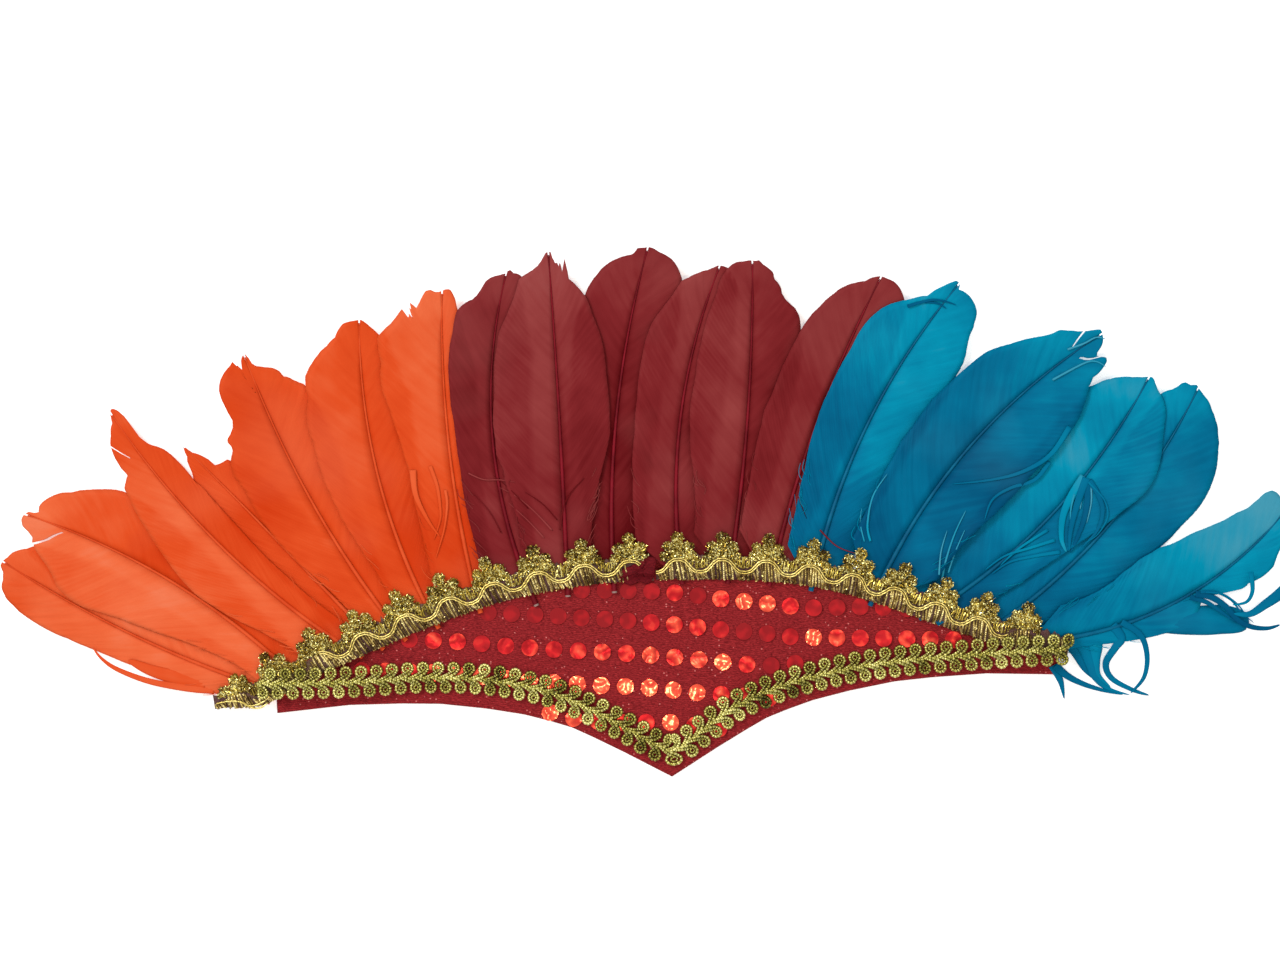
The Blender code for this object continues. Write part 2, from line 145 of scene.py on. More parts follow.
# Painted highlight and shade on the beads of the cord
BEAD_LIGHT_AND_SHADE = 0.46
CURL_SHADE = 0.15
BEAD_TURN = 2.6
NORMAL_STEP = 0.0015
NARROWEST_VANE = 0.0003
CAMBER = 0.00022
RUFFLE = 0.00008
EDGE_KNOTS = 22
EDGE_WANDER = 0.010
EDGE_NICKS = 0.0016
DYE_AND_SHADING_STATIONS = (0.1, 0.5, 0.95)
WIDTH_SMOOTHING = 8
CROWN_START = 0.35
CROWN_STEPS = 300
CROWN_MARGIN = 0.3
QUILL_STATIONS = np.linspace(0.0, 1.0, 60)
END_REACH = 0.002
NEIGHBOUR_REACH = 0.03
FEATHER_SEED = 700
SEQUIN_SEED = 41
GAUZE_SEED = 17
PATCH_SEED = 5
GIMP_SEED = 23
LACE_SEEDS = {"left": 91, "right": 92}
QUILL_HOLLOW = 0.00028
HOLLOW_REACH = 0.0013
SPLIT_FADE = 9.0
DOWN_REACH = 6.0
RIM_ROUND = 0.0010
BACK_RIM_RISE = 0.0004
BROAD_WAVE = 0.00012
FINE_WAVE = 0.00008
DISC_SHEET = 0.00012
DISC_RINGS = 4
DISC_SIDES = 20
DISC_BEND = 7.0
DISC_RIM_WAVE = 0.00003
MIRROR_TONE = 0.86
DISC_MARGIN = 0.45
GAUZE_LIFT = 0.0003
GAUZE_SHEET = 0.00025
GAUZE_PITCH = 0.0009
GAUZE_COLUMNS = 8
GAUZE_TOP_SHARE = 0.27
GAUZE_TOP_STRAY = 0.05
GAUZE_LOW_SHARE = 0.90
GAUZE_LOW_STRAY = 0.04
GAUZE_JOIN = (0.0015, 0.0050)
GAUZE_JOIN_TOP = -0.0030
CORE_LIFT = 0.00052
CORD_LIFT = 0.00062
TAIL_CORD_LIFT = 0.0006
PATCH_SHEET = 0.0003
PATCH_BUMP = 0.00022
LOBE_GRAINS = 170
VALLEY_GRAINS = 190
SHARP_ANGLE = math.radians(60.0)
TINY = 1e-9
FAR_AWAY = 1e9
SIDE_SIGN = {"left": -1.0, "right": 1.0}
# Stretch of each quill under the lace, as shares of its length, and how far beside a quill the lace's lower
# edge has come down to the cloth
UNDER_LACE = (-0.10, 0.06)
TENT_FOOT = 0.0032
SAG_FULL_SHARE = 0.85
SAG_FADE = (0.002, 0.008)

# Plan positions are millimetres on the plaque: across, up
PLAQUE_LOWER = [(0, -29.4), (16.6, -19.8), (27.2, -14.0), (34.6, -10.2), (42, -7.6), (51.2, -4.8),
                (64.2, -2.1), (80.5, 0.4), (94.2, 1.2), (113, 1.6), (138, 0)]
PLAQUE_UPPER = [(0, 47.6), (26, 46.2), (42, 44.0), (58, 40.6), (78, 34.6), (96, 27.9), (113, 21.2),
                (128, 15.8), (138.5, 11.2)]
LACE_LINE = [(-160, 5.6), (-150, 6.6), (-141, 9.2), (-128.6, 15.7), (-113, 22.0), (-95, 28.9),
             (-77, 35.1), (-57.4, 40.6), (-41.3, 43.4), (-25.3, 45.0), (-7.6, 45.6), (13.5, 45.0),
             (31, 43.8), (48.7, 41.4), (66, 37.2), (83.5, 30.6), (97.3, 24.8), (113, 18.6), (132, 12.9),
             (144, 9.3)]
# Each length of lace, all across: first and last lobe valley, where the plain end stops, where the fringe
# starts and stops, and where its wavy cords end
LACE_LENGTHS = {
    "left": (-160.0, -2.9, -2.9, -160.0, -12.0, -7.6),
    "right": (-2.0, 133.0, 142.0, -2.0, 142.0, 133.0),
}
LACE_JOIN = -2.4
# Loops of one lobe: along (share of the pitch), height (share of LACE_ABOVE_CORD), radius in metres
LOBE_LOOPS = [(0.0, 0.77, 0.00172), (-0.235, 0.52, 0.00150), (0.235, 0.52, 0.00150), (0.0, 0.50, 0.00150),
              (-0.31, 0.27, 0.00115), (0.31, 0.27, 0.00115), (-0.13, 0.29, 0.00110), (0.13, 0.29, 0.00110),
              (0.0, 0.22, 0.00090)]
GIMP_LINE = [(-143.5, 11.4), (-128.8, 10.6), (-107, 10.2), (-85.4, 10.2), (-63.9, 8.4), (-43, 3.4),
             (-28.8, -3.3), (-16.1, -10.6), (-6.4, -16.8), (1.2, -19.6), (8.8, -15.2), (17.6, -9.0),
             (26, -4.2), (40.7, 1.2), (55.4, 4.5), (69.3, 6.6), (85.6, 7.9), (104.7, 8.8), (119.2, 9.2),
             (143, 9.2)]

# Sequin rows, top to bottom: number of sequins, points that the row passes through, and how strongly the
# row catches the light, from its left end to its right end
SEQUIN_ROWS = [
    (15, [(-28.6, 38.2), (-11.9, 37.2), (4.6, 35.6), (20.7, 32.7), (36.8, 30.2), (53.0, 27.9), (68.9, 27.5),
     (85.8, 26.0)], (0.03, 0.02, 0.02, 0.12, 0.4, 0.03, 0.6, 0.95, 0.8, 0.5, 0.25, 0.15, 0.2, 0.25, 0.15)),
    (21, [(-62.0, 31.9), (-46.2, 30.4), (-29.3, 28.5), (-12.8, 26.6), (3.7, 24.4), (20.2, 21.8), (36.7, 19.6),
     (44.7, 18.1), (61.6, 16.9), (81.7, 15.6), (101.8, 14.2)], (0.03, 0.05, 0.02, 0.02, 0.12, 0.06, 0.1, 0.35,
     0.6, 0.55, 0.3, 0.05, 0.1, 0.3, 0.9, 0.6, 0.4, 0.4, 0.5, 0.6, 0.5)),
    (17, [(-90.4, 23.8), (-73.1, 22.2), (-55.9, 19.8), (-38.7, 17.7), (-21.8, 15.9), (-5.0, 14.0),
     (11.9, 11.6), (28.4, 9.1), (36.8, 8.3), (45.5, 8.6)], (0.2, 0.5, 0.5, 0.3, 0.4, 0.45, 0.4, 0.5, 0.6,
     0.55, 0.75, 0.65, 0.7, 1.0, 0.5, 0.05, 0.2)),
    (20, [(-107.8, 13.7), (-82.5, 11.7), (-57.2, 8.3), (-40.3, 6.1), (-23.5, 4.2), (-6.6, 2.6), (10.3, 0.0),
     (26.8, -1.9), (44.1, -4.3), (52.5, -3.5)], (0.3, 0.5, 0.5, 0.8, 0.8, 0.85, 0.9, 0.95, 1.0, 1.0, 1.0, 1.0,
     1.0, 1.0, 0.9, 0.6, 0.6, 0.5, 0.6, 0.5)),
    (9, [(-41.9, -4.5), (-33.2, -7.0), (-16.7, -9.2), (0.4, -10.1), (17.4, -13.1), (25.9, -13.1)], (0.95, 0.8,
     0.6, 0.7, 0.5, 1.0, 0.6, 0.5, 0.6)),
]

# Feathers, as in the frame: seat on the lace line (mm across), lean (degrees to the right), length (mm),
# bow (share of the length, to the right), left and right half widths (mm) at WIDTH_STATIONS, and whether
# each side lies over its neighbour; then how deep each side looks from base to tip, its dye together with
# painted light and shade (paler where a vane is turned to the light, deeper where it is turned away), and the
# splits: side, where they reach the edge (share of the length), how far out they start, opening in mm
WIDTH_STATIONS = (0.15, 0.45, 0.75, 0.93)
COLUMNS = ("name", "seat", "lean", "length", "bow", "left", "right", "left_over", "right_over",
           "left_dye_and_shading", "right_dye_and_shading", "splits")
FEATHERS = [dict(zip(COLUMNS, row)) for row in [
    ("feather_orange_1", -141.0, -61.5, 104.2, -0.037, (7.5, 10, 12.5, 10.5), (8, 15, 17, 11.5), False, False,
     (0.1, 0.15, 0.25), (0.15, 0.15, 0.35), []),
    ("feather_orange_2", -132.2, -56.3, 110.2, 0.054, (10, 18, 24, 12.5), (8, 15, 22, 10), True, False,
     (0.15, 0.1, 0.1), (0.8, 0.9, 0.35), [("left", 0.97, 0.05, 0.7)]),
    ("feather_orange_3", -112.5, -42.0, 118.1, -0.055, (11, 19, 13.5, 7), (7, 9, 10.5, 3), True, True,
     (0.35, 0.2, 0.75), (0.8, 0.9, 0.75), [("left", 0.93, 0.5, 0.3)]),
    ("feather_orange_4", -103.8, -41.6, 94.5, 0.0, (7, 9, 7, 3), (8, 14, 12.5, 3.5), False, False,
     (0.85, 0.85, 0.7), (0.85, 0.8, 0.7), []),
    ("feather_orange_5", -95.2, -26.0, 108.0, -0.042, (9, 18, 20.5, 13.5), (8, 15, 19, 12), True, False,
     (0.45, 0.65, 0.6), (0.75, 0.8, 0.5), []),
    ("feather_orange_6", -82.6, -10.6, 105.4, -0.064, (10, 18, 21.5, 11), (9, 15, 17, 10), True, False,
     (0.75, 0.6, 0.6), (1.1, 0.8, 0.6), []),
    ("feather_orange_7", -66.0, -3.3, 109.0, -0.036, (13.5, 15, 23.5, 12), (8, 12, 12, 5.5), True, False,
     (0.75, 0.5, 0.2), (1.1, 0.7, 0.45), []),
    ("feather_red_1", -48.0, -0.6, 110.0, -0.081, (13, 12.5, 16, 10.5), (8, 14, 15, 7), True, False,
     (0.6, 0.6, 0.55), (0.5, 0.6, 0.7), []),
    ("feather_red_2", -33.5, -0.4, 113.8, 0.003, (16, 24, 20.5, 9), (9, 18.5, 17, 6.5), True, True,
     (0.55, 0.12, 0.3), (0.85, 0.45, 0.35), []),
    ("feather_red_3", -17.2, 9.1, 114.0, -0.041, (9, 16, 20, 12), (12, 15, 18, 14.5), False, False,
     (1.05, 0.9, 0.45), (1.1, 0.9, 0.5), []),
    ("feather_red_4", 6.5, 10.4, 106.8, -0.062, (15, 16, 17.6, 9), (9.5, 14, 15, 9), True, False,
     (0.6, 0.45, 0.35), (0.8, 0.6, 0.5), []),
    ("feather_red_5", 24.4, 6.8, 107.9, 0.022, (14.5, 21, 18, 11), (8, 14, 19, 12), True, False,
     (0.7, 0.3, 0.35), (1.0, 0.65, 0.45), []),
    ("feather_red_6", 39.4, 23.0, 108.2, -0.029, (15, 18.8, 18.5, 10.5), (8, 14, 17, 13.5), True, False,
     (0.45, 0.35, 0.45), (0.55, 0.5, 0.5), []),
    ("feather_blue_1", 54.0, 29.2, 113.8, -0.058, (12, 17.5, 18.5, 8), (12, 18.5, 20, 13.5), True, False,
     (0.7, 0.5, 0.2), (0.85, 0.35, 0.2), [("left", 0.2, 0.6, 0.3)]),
    ("feather_blue_2", 75.9, 44.0, 119.6, -0.071, (16, 21, 20, 9), (17, 23, 22.5, 12), True, True,
     (0.85, 0.8, 0.35), (0.95, 1.0, 0.45), [("right", 0.985, 0.3, 0.35), ("left", 0.985, 0.3, 0.3)]),
    ("feather_blue_3", 95.9, 45.3, 110.9, 0.071, (14.5, 22, 20, 12.5), (8, 13, 22, 10.5), False, True,
     (0.8, 0.3, 0.05), (1.0, 0.5, 0.2), []),
    ("feather_blue_4", 115.7, 43.1, 112.0, 0.071, (8, 12, 14, 10.6), (10, 18, 23, 12), False, False,
     (0.8, 0.6, 0.4), (0.85, 0.65, 0.4), []),
    ("feather_blue_5", 133.9, 64.0, 98.5, 0.107, (12, 20.5, 16.5, 10), (4, 9.5, 12, 6), True, False,
     (0.6, 0.2, -0.3), (0.6, 0.35, 0.1), []),
]]

# Outline of each tip, plan positions from the left edge round to the right edge, about CROWN_PIVOT of the
# length up the quill
TIP_OUTLINES = {
    "feather_orange_1": [(-221.1, 63.4), (-223.4, 62.7), (-227.0, 62.1), (-228.4, 61.6), (-230.3, 59.9),
        (-232.1, 58.7), (-232.9, 57.1), (-232.1, 54.6), (-232.4, 52.1), (-233.1, 49.3), (-232.3, 46.8),
        (-230.5, 43.6), (-228.0, 40.5), (-224.7, 37.6), (-220.4, 34.8), (-216.1, 32.4), (-211.0, 30.1)],
    "feather_orange_2": [(-200.1, 82.4), (-203.8, 82.2), (-206.6, 81.6), (-210.0, 81.7), (-213.4, 80.8),
        (-216.3, 79.3), (-218.2, 77.4), (-218.5, 75.2), (-220.0, 75.1), (-222.0, 75.6), (-223.6, 74.6),
        (-224.5, 73.0), (-224.2, 70.6), (-222.5, 68.8), (-220.9, 66.5), (-221.0, 63.7), (-219.0, 60.1),
        (-215.8, 54.8)],
    "feather_orange_3": [(-186.6, 86.8), (-188.7, 89.4), (-190.4, 92.9), (-191.6, 97.1), (-191.3, 100.7),
        (-190.5, 105.2), (-191.0, 108.9), (-189.8, 110.3), (-188.2, 109.5), (-186.0, 107.3), (-183.9, 104.0),
        (-181.4, 100.0), (-178.5, 97.5), (-175.6, 96.4), (-173.0, 95.0), (-170.3, 92.8), (-167.3, 89.5),
        (-165.2, 86.6), (-163.0, 83.2)],
    "feather_orange_4": [(-163.7, 83.8), (-164.4, 87.5), (-165.3, 92.1), (-166.4, 96.1), (-165.4, 95.3),
        (-163.6, 93.6), (-160.9, 92.7), (-158.2, 91.1), (-155.9, 88.8)],
    "feather_orange_5": [(-151.5, 96.6), (-149.4, 99.3), (-148.6, 101.5), (-148.6, 104.2), (-150.0, 107.0),
        (-151.7, 111.2), (-152.4, 114.9), (-151.8, 118.1), (-150.0, 121.2), (-148.0, 123.3), (-147.1, 124.7),
        (-146.6, 125.8), (-146.2, 124.6), (-145.4, 122.3), (-143.9, 120.8), (-144.0, 122.7), (-144.1, 125.0),
        (-143.5, 126.8), (-142.7, 127.4), (-141.6, 126.3), (-140.8, 124.1), (-139.0, 122.8), (-136.1, 122.3),
        (-133.2, 121.9), (-131.1, 120.7), (-129.8, 118.8), (-126.7, 117.5), (-123.1, 116.0), (-120.9, 113.5)],
    "feather_orange_6": [(-122.1, 118.4), (-120.6, 121.5), (-118.7, 124.2), (-116.3, 126.8), (-113.9, 128.5),
        (-110.8, 131.4), (-109.8, 133.6), (-107.8, 136.1), (-106.0, 136.7), (-103.7, 137.0), (-101.4, 137.3),
        (-100.0, 136.3), (-98.3, 134.7), (-96.6, 133.0), (-94.7, 130.6), (-93.1, 127.3)],
    "feather_orange_7": [(-96.4, 131.0), (-94.3, 132.8), (-92.8, 134.1), (-90.9, 135.4), (-88.5, 138.0),
        (-86.6, 140.2), (-85.1, 142.0), (-84.4, 142.8), (-84.7, 141.0), (-84.8, 139.2), (-84.5, 136.9),
        (-83.8, 135.5), (-83.1, 136.8), (-82.9, 138.2), (-81.6, 140.4), (-80.3, 142.6), (-79.1, 144.8),
        (-78.1, 146.2), (-76.2, 146.5), (-74.9, 145.7), (-73.5, 145.6), (-72.1, 146.1), (-70.8, 146.5),
        (-69.4, 146.2), (-68.6, 144.8), (-67.9, 142.9), (-67.6, 140.6), (-67.0, 137.4)],
    "feather_red_1": [(-67.5, 138.6), (-65.9, 140.3), (-64.1, 141.3), (-61.8, 142.3), (-60.2, 143.9),
        (-58.5, 146.1), (-56.7, 148.6), (-54.8, 149.8), (-52.2, 150.4), (-49.8, 150.9), (-48.8, 151.9),
        (-47.9, 152.0), (-46.9, 150.9), (-44.9, 150.4), (-43.4, 148.8), (-41.8, 145.5)],
    "feather_red_2": [(-45.1, 148.4), (-43.6, 149.6), (-42.0, 150.5), (-40.2, 151.5), (-38.4, 152.9),
        (-37.0, 154.6), (-36.0, 156.3), (-35.1, 157.6), (-33.9, 157.8), (-33.1, 157.3), (-33.0, 155.7),
        (-31.2, 155.3), (-28.8, 155.2), (-30.4, 154.0), (-31.9, 153.1), (-31.4, 151.4), (-29.7, 149.8),
        (-27.6, 148.0), (-25.5, 146.1), (-23.9, 144.3), (-22.0, 141.8)],
    "feather_red_3": [(-22.0, 142.9), (-21.0, 145.0), (-19.1, 147.6), (-16.3, 150.5), (-13.6, 152.6),
        (-10.4, 154.2), (-7.3, 155.1), (-5.1, 155.4), (-3.9, 156.2), (-3.0, 157.5), (-1.0, 157.5),
        (1.6, 157.6), (2.9, 157.0), (4.6, 155.8), (6.8, 154.7), (8.9, 153.2), (10.5, 151.0), (11.7, 148.3),
        (12.4, 144.9)],
    "feather_red_4": [(11.8, 145.3), (14.3, 146.4), (17.9, 147.8), (21.4, 148.7), (23.7, 149.5),
        (25.0, 150.1), (26.8, 149.8), (28.8, 148.9), (30.5, 147.2), (31.8, 144.3)],
    "feather_red_5": [(27.4, 147.7), (29.9, 150.1), (31.7, 150.9), (33.9, 151.0), (36.1, 151.3),
        (38.3, 151.0), (39.6, 151.2), (40.9, 149.7), (43.0, 148.1), (44.4, 146.7), (44.6, 144.5),
        (45.8, 143.1), (46.8, 141.3), (47.1, 139.1), (48.2, 137.3), (49.8, 135.4), (51.5, 133.6),
        (52.7, 130.9), (53.2, 127.3)],
    "feather_red_6": [(60.1, 133.6), (62.5, 136.1), (65.7, 138.6), (69.3, 140.6), (72.9, 141.6),
        (76.4, 142.0), (78.7, 143.1), (82.2, 143.5), (84.4, 142.5), (86.9, 141.2), (88.4, 139.4),
        (89.5, 137.0), (90.1, 134.7), (90.3, 131.9)],
    "feather_blue_1": [(70.3, 118.5), (72.3, 121.9), (74.6, 125.3), (77.4, 128.7), (81.1, 131.6),
        (84.7, 133.4), (89.2, 134.5), (93.6, 135.4), (98.0, 135.8), (100.8, 137.7), (103.5, 138.8),
        (106.1, 139.9), (108.4, 140.5), (110.1, 139.0), (109.1, 137.4), (110.8, 136.7), (112.9, 134.9),
        (114.6, 132.1), (115.3, 129.0), (114.4, 125.6), (113.2, 122.1), (111.9, 118.7), (110.8, 114.7)],
    "feather_blue_2": [(118.2, 115.2), (121.8, 116.4), (126.2, 117.4), (130.7, 118.6), (134.2, 119.1),
        (137.7, 119.5), (140.9, 120.2), (143.6, 121.4), (146.6, 121.1), (150.1, 120.7), (153.2, 120.5),
        (155.4, 120.8), (158.0, 120.9), (158.7, 119.8), (158.9, 117.2), (158.5, 115.4), (156.7, 112.9),
        (156.5, 111.6), (158.4, 111.4), (160.0, 111.1), (160.1, 109.6), (158.7, 107.5), (156.8, 105.4),
        (155.0, 104.2), (153.7, 101.4), (152.5, 97.8)],
    "feather_blue_3": [(153.9, 101.3), (157.5, 102.7), (161.1, 103.7), (164.6, 104.0), (169.0, 103.7),
        (172.5, 103.5), (175.6, 103.5), (176.4, 102.7), (176.9, 100.9), (177.7, 98.7), (178.6, 97.1),
        (179.6, 94.4)],
    "feather_blue_4": [(177.3, 96.6), (178.6, 97.1), (180.6, 98.1), (182.8, 98.7), (184.7, 99.6),
        (186.0, 100.7), (187.4, 101.0), (189.1, 99.9), (191.3, 99.8), (192.1, 98.4), (193.7, 96.1),
        (195.4, 93.8), (196.5, 90.7), (197.7, 87.1), (198.6, 83.6), (198.9, 79.1), (198.4, 74.8),
        (197.8, 71.3)],
    "feather_blue_5": [(194.8, 50.1), (199.3, 51.8), (203.8, 54.1), (208.3, 56.2), (211.1, 58.3),
        (213.4, 60.4), (216.1, 61.4), (217.8, 60.6), (219.2, 58.9), (220.0, 54.3), (220.1, 48.0),
        (219.4, 42.0), (217.6, 38.2), (216.1, 34.6), (212.3, 30.9), (207.8, 28.5)],
}

# Places where a vane is drawn in: side, share of the length, depth and spread
WAISTS = {"feather_blue_5": (("right", 0.61, 0.85, 0.08),), "feather_orange_5": (("left", 0.75, 0.12, 0.03),)}

# Loose barbs and curled strands: colour, dye with painted light and shade (below 0 towards the painted
# sheen), width at the start and at the end (mm), height at the start and at the end (mm, or None for just
# above the vanes), and the plan points it passes through
STRANDS = [
    ("blue", 0.5, 5.5, 0.7, 3.0, 0.6, [(143.6, 15.7), (147.8, 9.1), (149.7, 3.7), (151.2, -1.3),
     (155.6, -5.8), (163.6, -8.6)]),
    ("blue", 0.35, 6.5, 1.2, 3.2, 0.9, [(149.9, 16.1), (151.8, 10.0), (151.5, 4.7), (152.3, -1.0),
     (156.7, -5.5)]),
    ("blue", 0.7, 6.0, 1.0, 2.9, 0.9, [(139.3, 15.2), (144.6, 8.6), (147.8, 2.0), (151.2, -2.4)]),
    ("blue", 0.55, 3.4, 1.4, 3.3, 0.5, [(158.1, 16.7), (161.1, 12.0), (158.8, 8.6), (155.3, 3.1),
     (157.2, -2.3), (164.7, -6.9), (170.3, -9.0)]),
    ("blue", 0.6, 2.4, 1.3, 3.5, 1.3, [(161.3, 17.6), (167.8, 12.7), (169.9, 5.2), (168.5, -2.5),
     (163.6, -7.9)]),
    ("blue", 0.6, 3.6, 0.6, 2.4, 0.5, [(136.6, 3.4), (139.1, -2.5), (140.2, -8.9)]),
    ("blue", 0.7, 3.0, 0.8, 2.8, 0.8, [(137.3, 3.4), (141.3, -0.5), (146.9, -3.7), (154.0, -6.4),
     (161.0, -8.3)]),
    ("blue", 0.45, 9.0, 12.0, 1.2, 1.2, [(170.0, 18.8), (180.0, 17.2), (190.0, 16.6), (198.0, 16.5),
     (206.8, 15.0)]),
    ("blue", 0.4, 5.0, 1.6, 4.4, 4.0, [(223.2, 29.6), (217.9, 25.1), (212.4, 21.5), (206.6, 18.2),
     (200.9, 18.6)]),
    ("blue", 0.35, 1.8, 0.8, 5.0, 4.3, [(207.5, 32.8), (207.7, 26.3), (205.4, 22.5), (200.4, 21.7)]),
    ("blue", 0.95, 2.4, 1.6, 4.6, 3.0, [(187.6, 26.2), (193.1, 24.9), (198.3, 21.1), (202.3, 16.3),
     (207.1, 13.6), (212.7, 12.8), (217.3, 13.8)]),
    ("blue", 0.7, 1.0, 0.5, 4.8, 3.4, [(189.4, 26.8), (195.0, 26.4), (200.1, 23.5), (203.5, 19.1),
     (207.9, 15.0)]),
    ("blue", 0.85, 2.0, 0.9, 4.4, 3.4, [(185.7, 25.2), (191.3, 23.2), (196.1, 19.8), (201.5, 15.6)]),
    ("blue", 0.6, 0.7, 0.5, 4.9, 3.8, [(191.1, 26.7), (197.1, 25.7), (201.9, 22.3), (205.2, 17.9)]),
    ("blue", 0.6, 6.0, 4.0, 2.8, 2.2, [(85.5, 27.0), (91.8, 33.6), (98.0, 42.0)]),
    ("red", 0.8, 7.0, 4.0, 2.7, 2.2, [(-7.0, 45.0), (-4.2, 51.0), (-1.5, 60.0)]),
    ("red", 0.8, 7.0, 4.0, 2.7, 2.2, [(13.0, 44.5), (16.0, 50.5), (19.0, 60.0)]),
    ("blue", -0.2, 0.8, 0.4, None, None, [(73.9, 50.5), (73.2, 56.5), (75.7, 66.3), (81.1, 74.0)]),
    ("blue", -0.3, 0.5, 0.3, None, None, [(71.8, 50.5), (70.8, 56.5), (71.6, 62.3)]),
    ("blue", -0.2, 0.7, 0.4, None, None, [(98.5, 35.4), (100.4, 43.2), (103.9, 51.9), (108.2, 59.7)]),
    ("blue", -0.35, 0.6, 0.3, None, None, [(97.4, 37.5), (98.6, 45.6), (101.2, 53.0)]),
    ("blue", -0.3, 0.5, 0.3, None, None, [(101.0, 38.0), (104.0, 46.0), (107.5, 53.0)]),
    ("blue", 0.0, 3.6, 1.2, None, None, [(150.8, 69.4), (146.0, 63.0), (142.5, 56.0), (141.5, 48.0),
     (143.0, 43.2)]),
    ("blue", 0.6, 3.0, 1.0, None, None, [(151.5, 69.0), (148.5, 62.0), (146.0, 55.0), (144.5, 49.0),
     (144.0, 43.5)]),
    ("blue", 0.9, 2.8, 0.9, None, None, [(152.0, 68.6), (151.5, 62.0), (150.0, 55.0), (147.0, 48.0),
     (144.5, 43.0)]),
    ("blue", 0.75, 2.2, 0.8, None, None, [(152.5, 68.0), (155.2, 63.0), (156.5, 57.0), (154.0, 50.0),
     (148.5, 44.5)]),
    ("blue", 0.5, 0.6, 0.4, None, None, [(152.0, 67.5), (157.2, 61.0), (158.0, 55.0), (154.5, 49.0),
     (149.5, 46.0)]),
    ("blue", -0.4, 0.8, 0.4, None, None, [(143.6, 61.0), (141.5, 55.0), (141.0, 49.0)]),
    ("blue", -0.4, 0.9, 0.5, None, None, [(151.2, 68.0), (149.6, 63.0), (148.6, 58.0)]),
    ("blue", -0.2, 0.7, 0.4, None, None, [(146.9, 63.5), (145.4, 58.5), (144.9, 54.0)]),
    ("blue", -0.45, 0.6, 0.3, None, None, [(153.0, 66.5), (152.6, 60.0), (150.6, 53.0)]),
    ("blue", -0.35, 0.5, 0.3, None, None, [(149.0, 66.0), (147.2, 60.0), (146.6, 53.5)]),
    ("blue", 0.95, 1.2, 0.4, None, None, [(90.8, 132.4), (95.3, 133.5), (99.7, 134.2), (104.1, 133.5),
     (108.0, 132.0)]),
    ("blue", 0.95, 0.9, 0.4, None, None, [(97.0, 133.6), (101.4, 133.0), (104.5, 131.0)]),
    ("blue", -0.4, 0.7, 0.4, None, None, [(146.3, 114.5), (152.1, 116.3), (156.4, 118.2), (159.6, 117.4)]),
    ("blue", -0.3, 0.7, 0.4, None, None, [(140.7, 104.1), (151.7, 109.3), (156.0, 109.8), (159.4, 107.8)]),
    ("blue", 0.6, 2.0, 0.6, None, None, [(146.1, 87.3), (138.9, 77.8), (128.7, 72.3), (117.3, 70.0),
     (103.8, 69.2)]),
    ("blue", 0.55, 1.6, 0.6, None, None, [(138.7, 75.3), (133.1, 69.2), (124.2, 66.8), (117.6, 62.9),
     (114.5, 56.0)]),
    ("blue", 0.35, 1.2, 0.5, None, None, [(139.1, 47.7), (130.2, 45.3), (121.2, 42.9), (113.9, 38.3)]),
    ("blue", 0.55, 1.4, 0.5, None, None, [(140.7, 43.4), (131.8, 42.4), (122.9, 40.7), (116.3, 36.8)]),
    ("blue", 0.3, 1.1, 0.5, None, None, [(136.9, 51.4), (126.7, 45.5), (119.3, 39.5)]),
    ("red", 0.95, 0.4, 0.2, None, None, [(-56.0, 60.0), (-60.0, 68.0), (-66.0, 75.0)]),
    ("red", 0.95, 0.4, 0.2, None, None, [(-35.2, 59.9), (-32.6, 70.4), (-25.7, 77.8)]),
    ("red", 0.1, 0.5, 0.2, None, None, [(-66.5, 81.5), (-61.3, 79.0), (-55.5, 78.6), (-50.0, 77.5)]),
    ("red", 1.0, 0.35, 0.2, None, None, [(-46.0, 68.0), (-52.0, 75.0), (-58.0, 80.5)]),
    ("red", 0.0, 0.5, 0.2, None, None, [(-38.0, 60.0), (-44.0, 67.0), (-50.0, 72.5), (-56.0, 76.0)]),
    ("red", 0.05, 0.45, 0.2, None, None, [(-41.0, 57.5), (-46.5, 64.0), (-53.0, 70.5)]),
    ("red", 0.95, 0.4, 0.2, None, None, [(-36.0, 63.5), (-41.0, 69.5), (-47.0, 74.0)]),
    ("red", 0.6, 0.5, 0.2, None, None, [(56.5, 55.3), (61.5, 49.8), (66.7, 47.1), (72.9, 45.3)]),
    ("orange", 0.35, 6.5, 3.0, 2.5, 2.3, [(-163.0, 12.4), (-172.0, 14.2), (-182.0, 17.4), (-190.0, 21.4)]),
    ("orange", 0.25, 3.0, 0.8, 2.6, 2.4, [(-160.0, 9.4), (-169.8, 10.6), (-182.8, 13.6), (-193.8, 18.3),
     (-199.3, 22.4), (-202.3, 26.5)]),
    ("orange", 0.35, 1.4, 0.5, None, None, [(-79.9, 84.7), (-77.8, 77.6), (-77.1, 70.4), (-77.3, 65.5),
     (-79.8, 58.6)]),
    ("orange", 0.25, 2.4, 0.6, None, None, [(-86.0, 83.6), (-85.4, 74.7), (-81.6, 65.7), (-77.6, 59.6)]),
    ("orange", 0.2, 1.0, 0.4, None, None, [(-75.0, 76.0), (-74.6, 70.7), (-76.1, 61.9), (-79.4, 52.2)]),
]

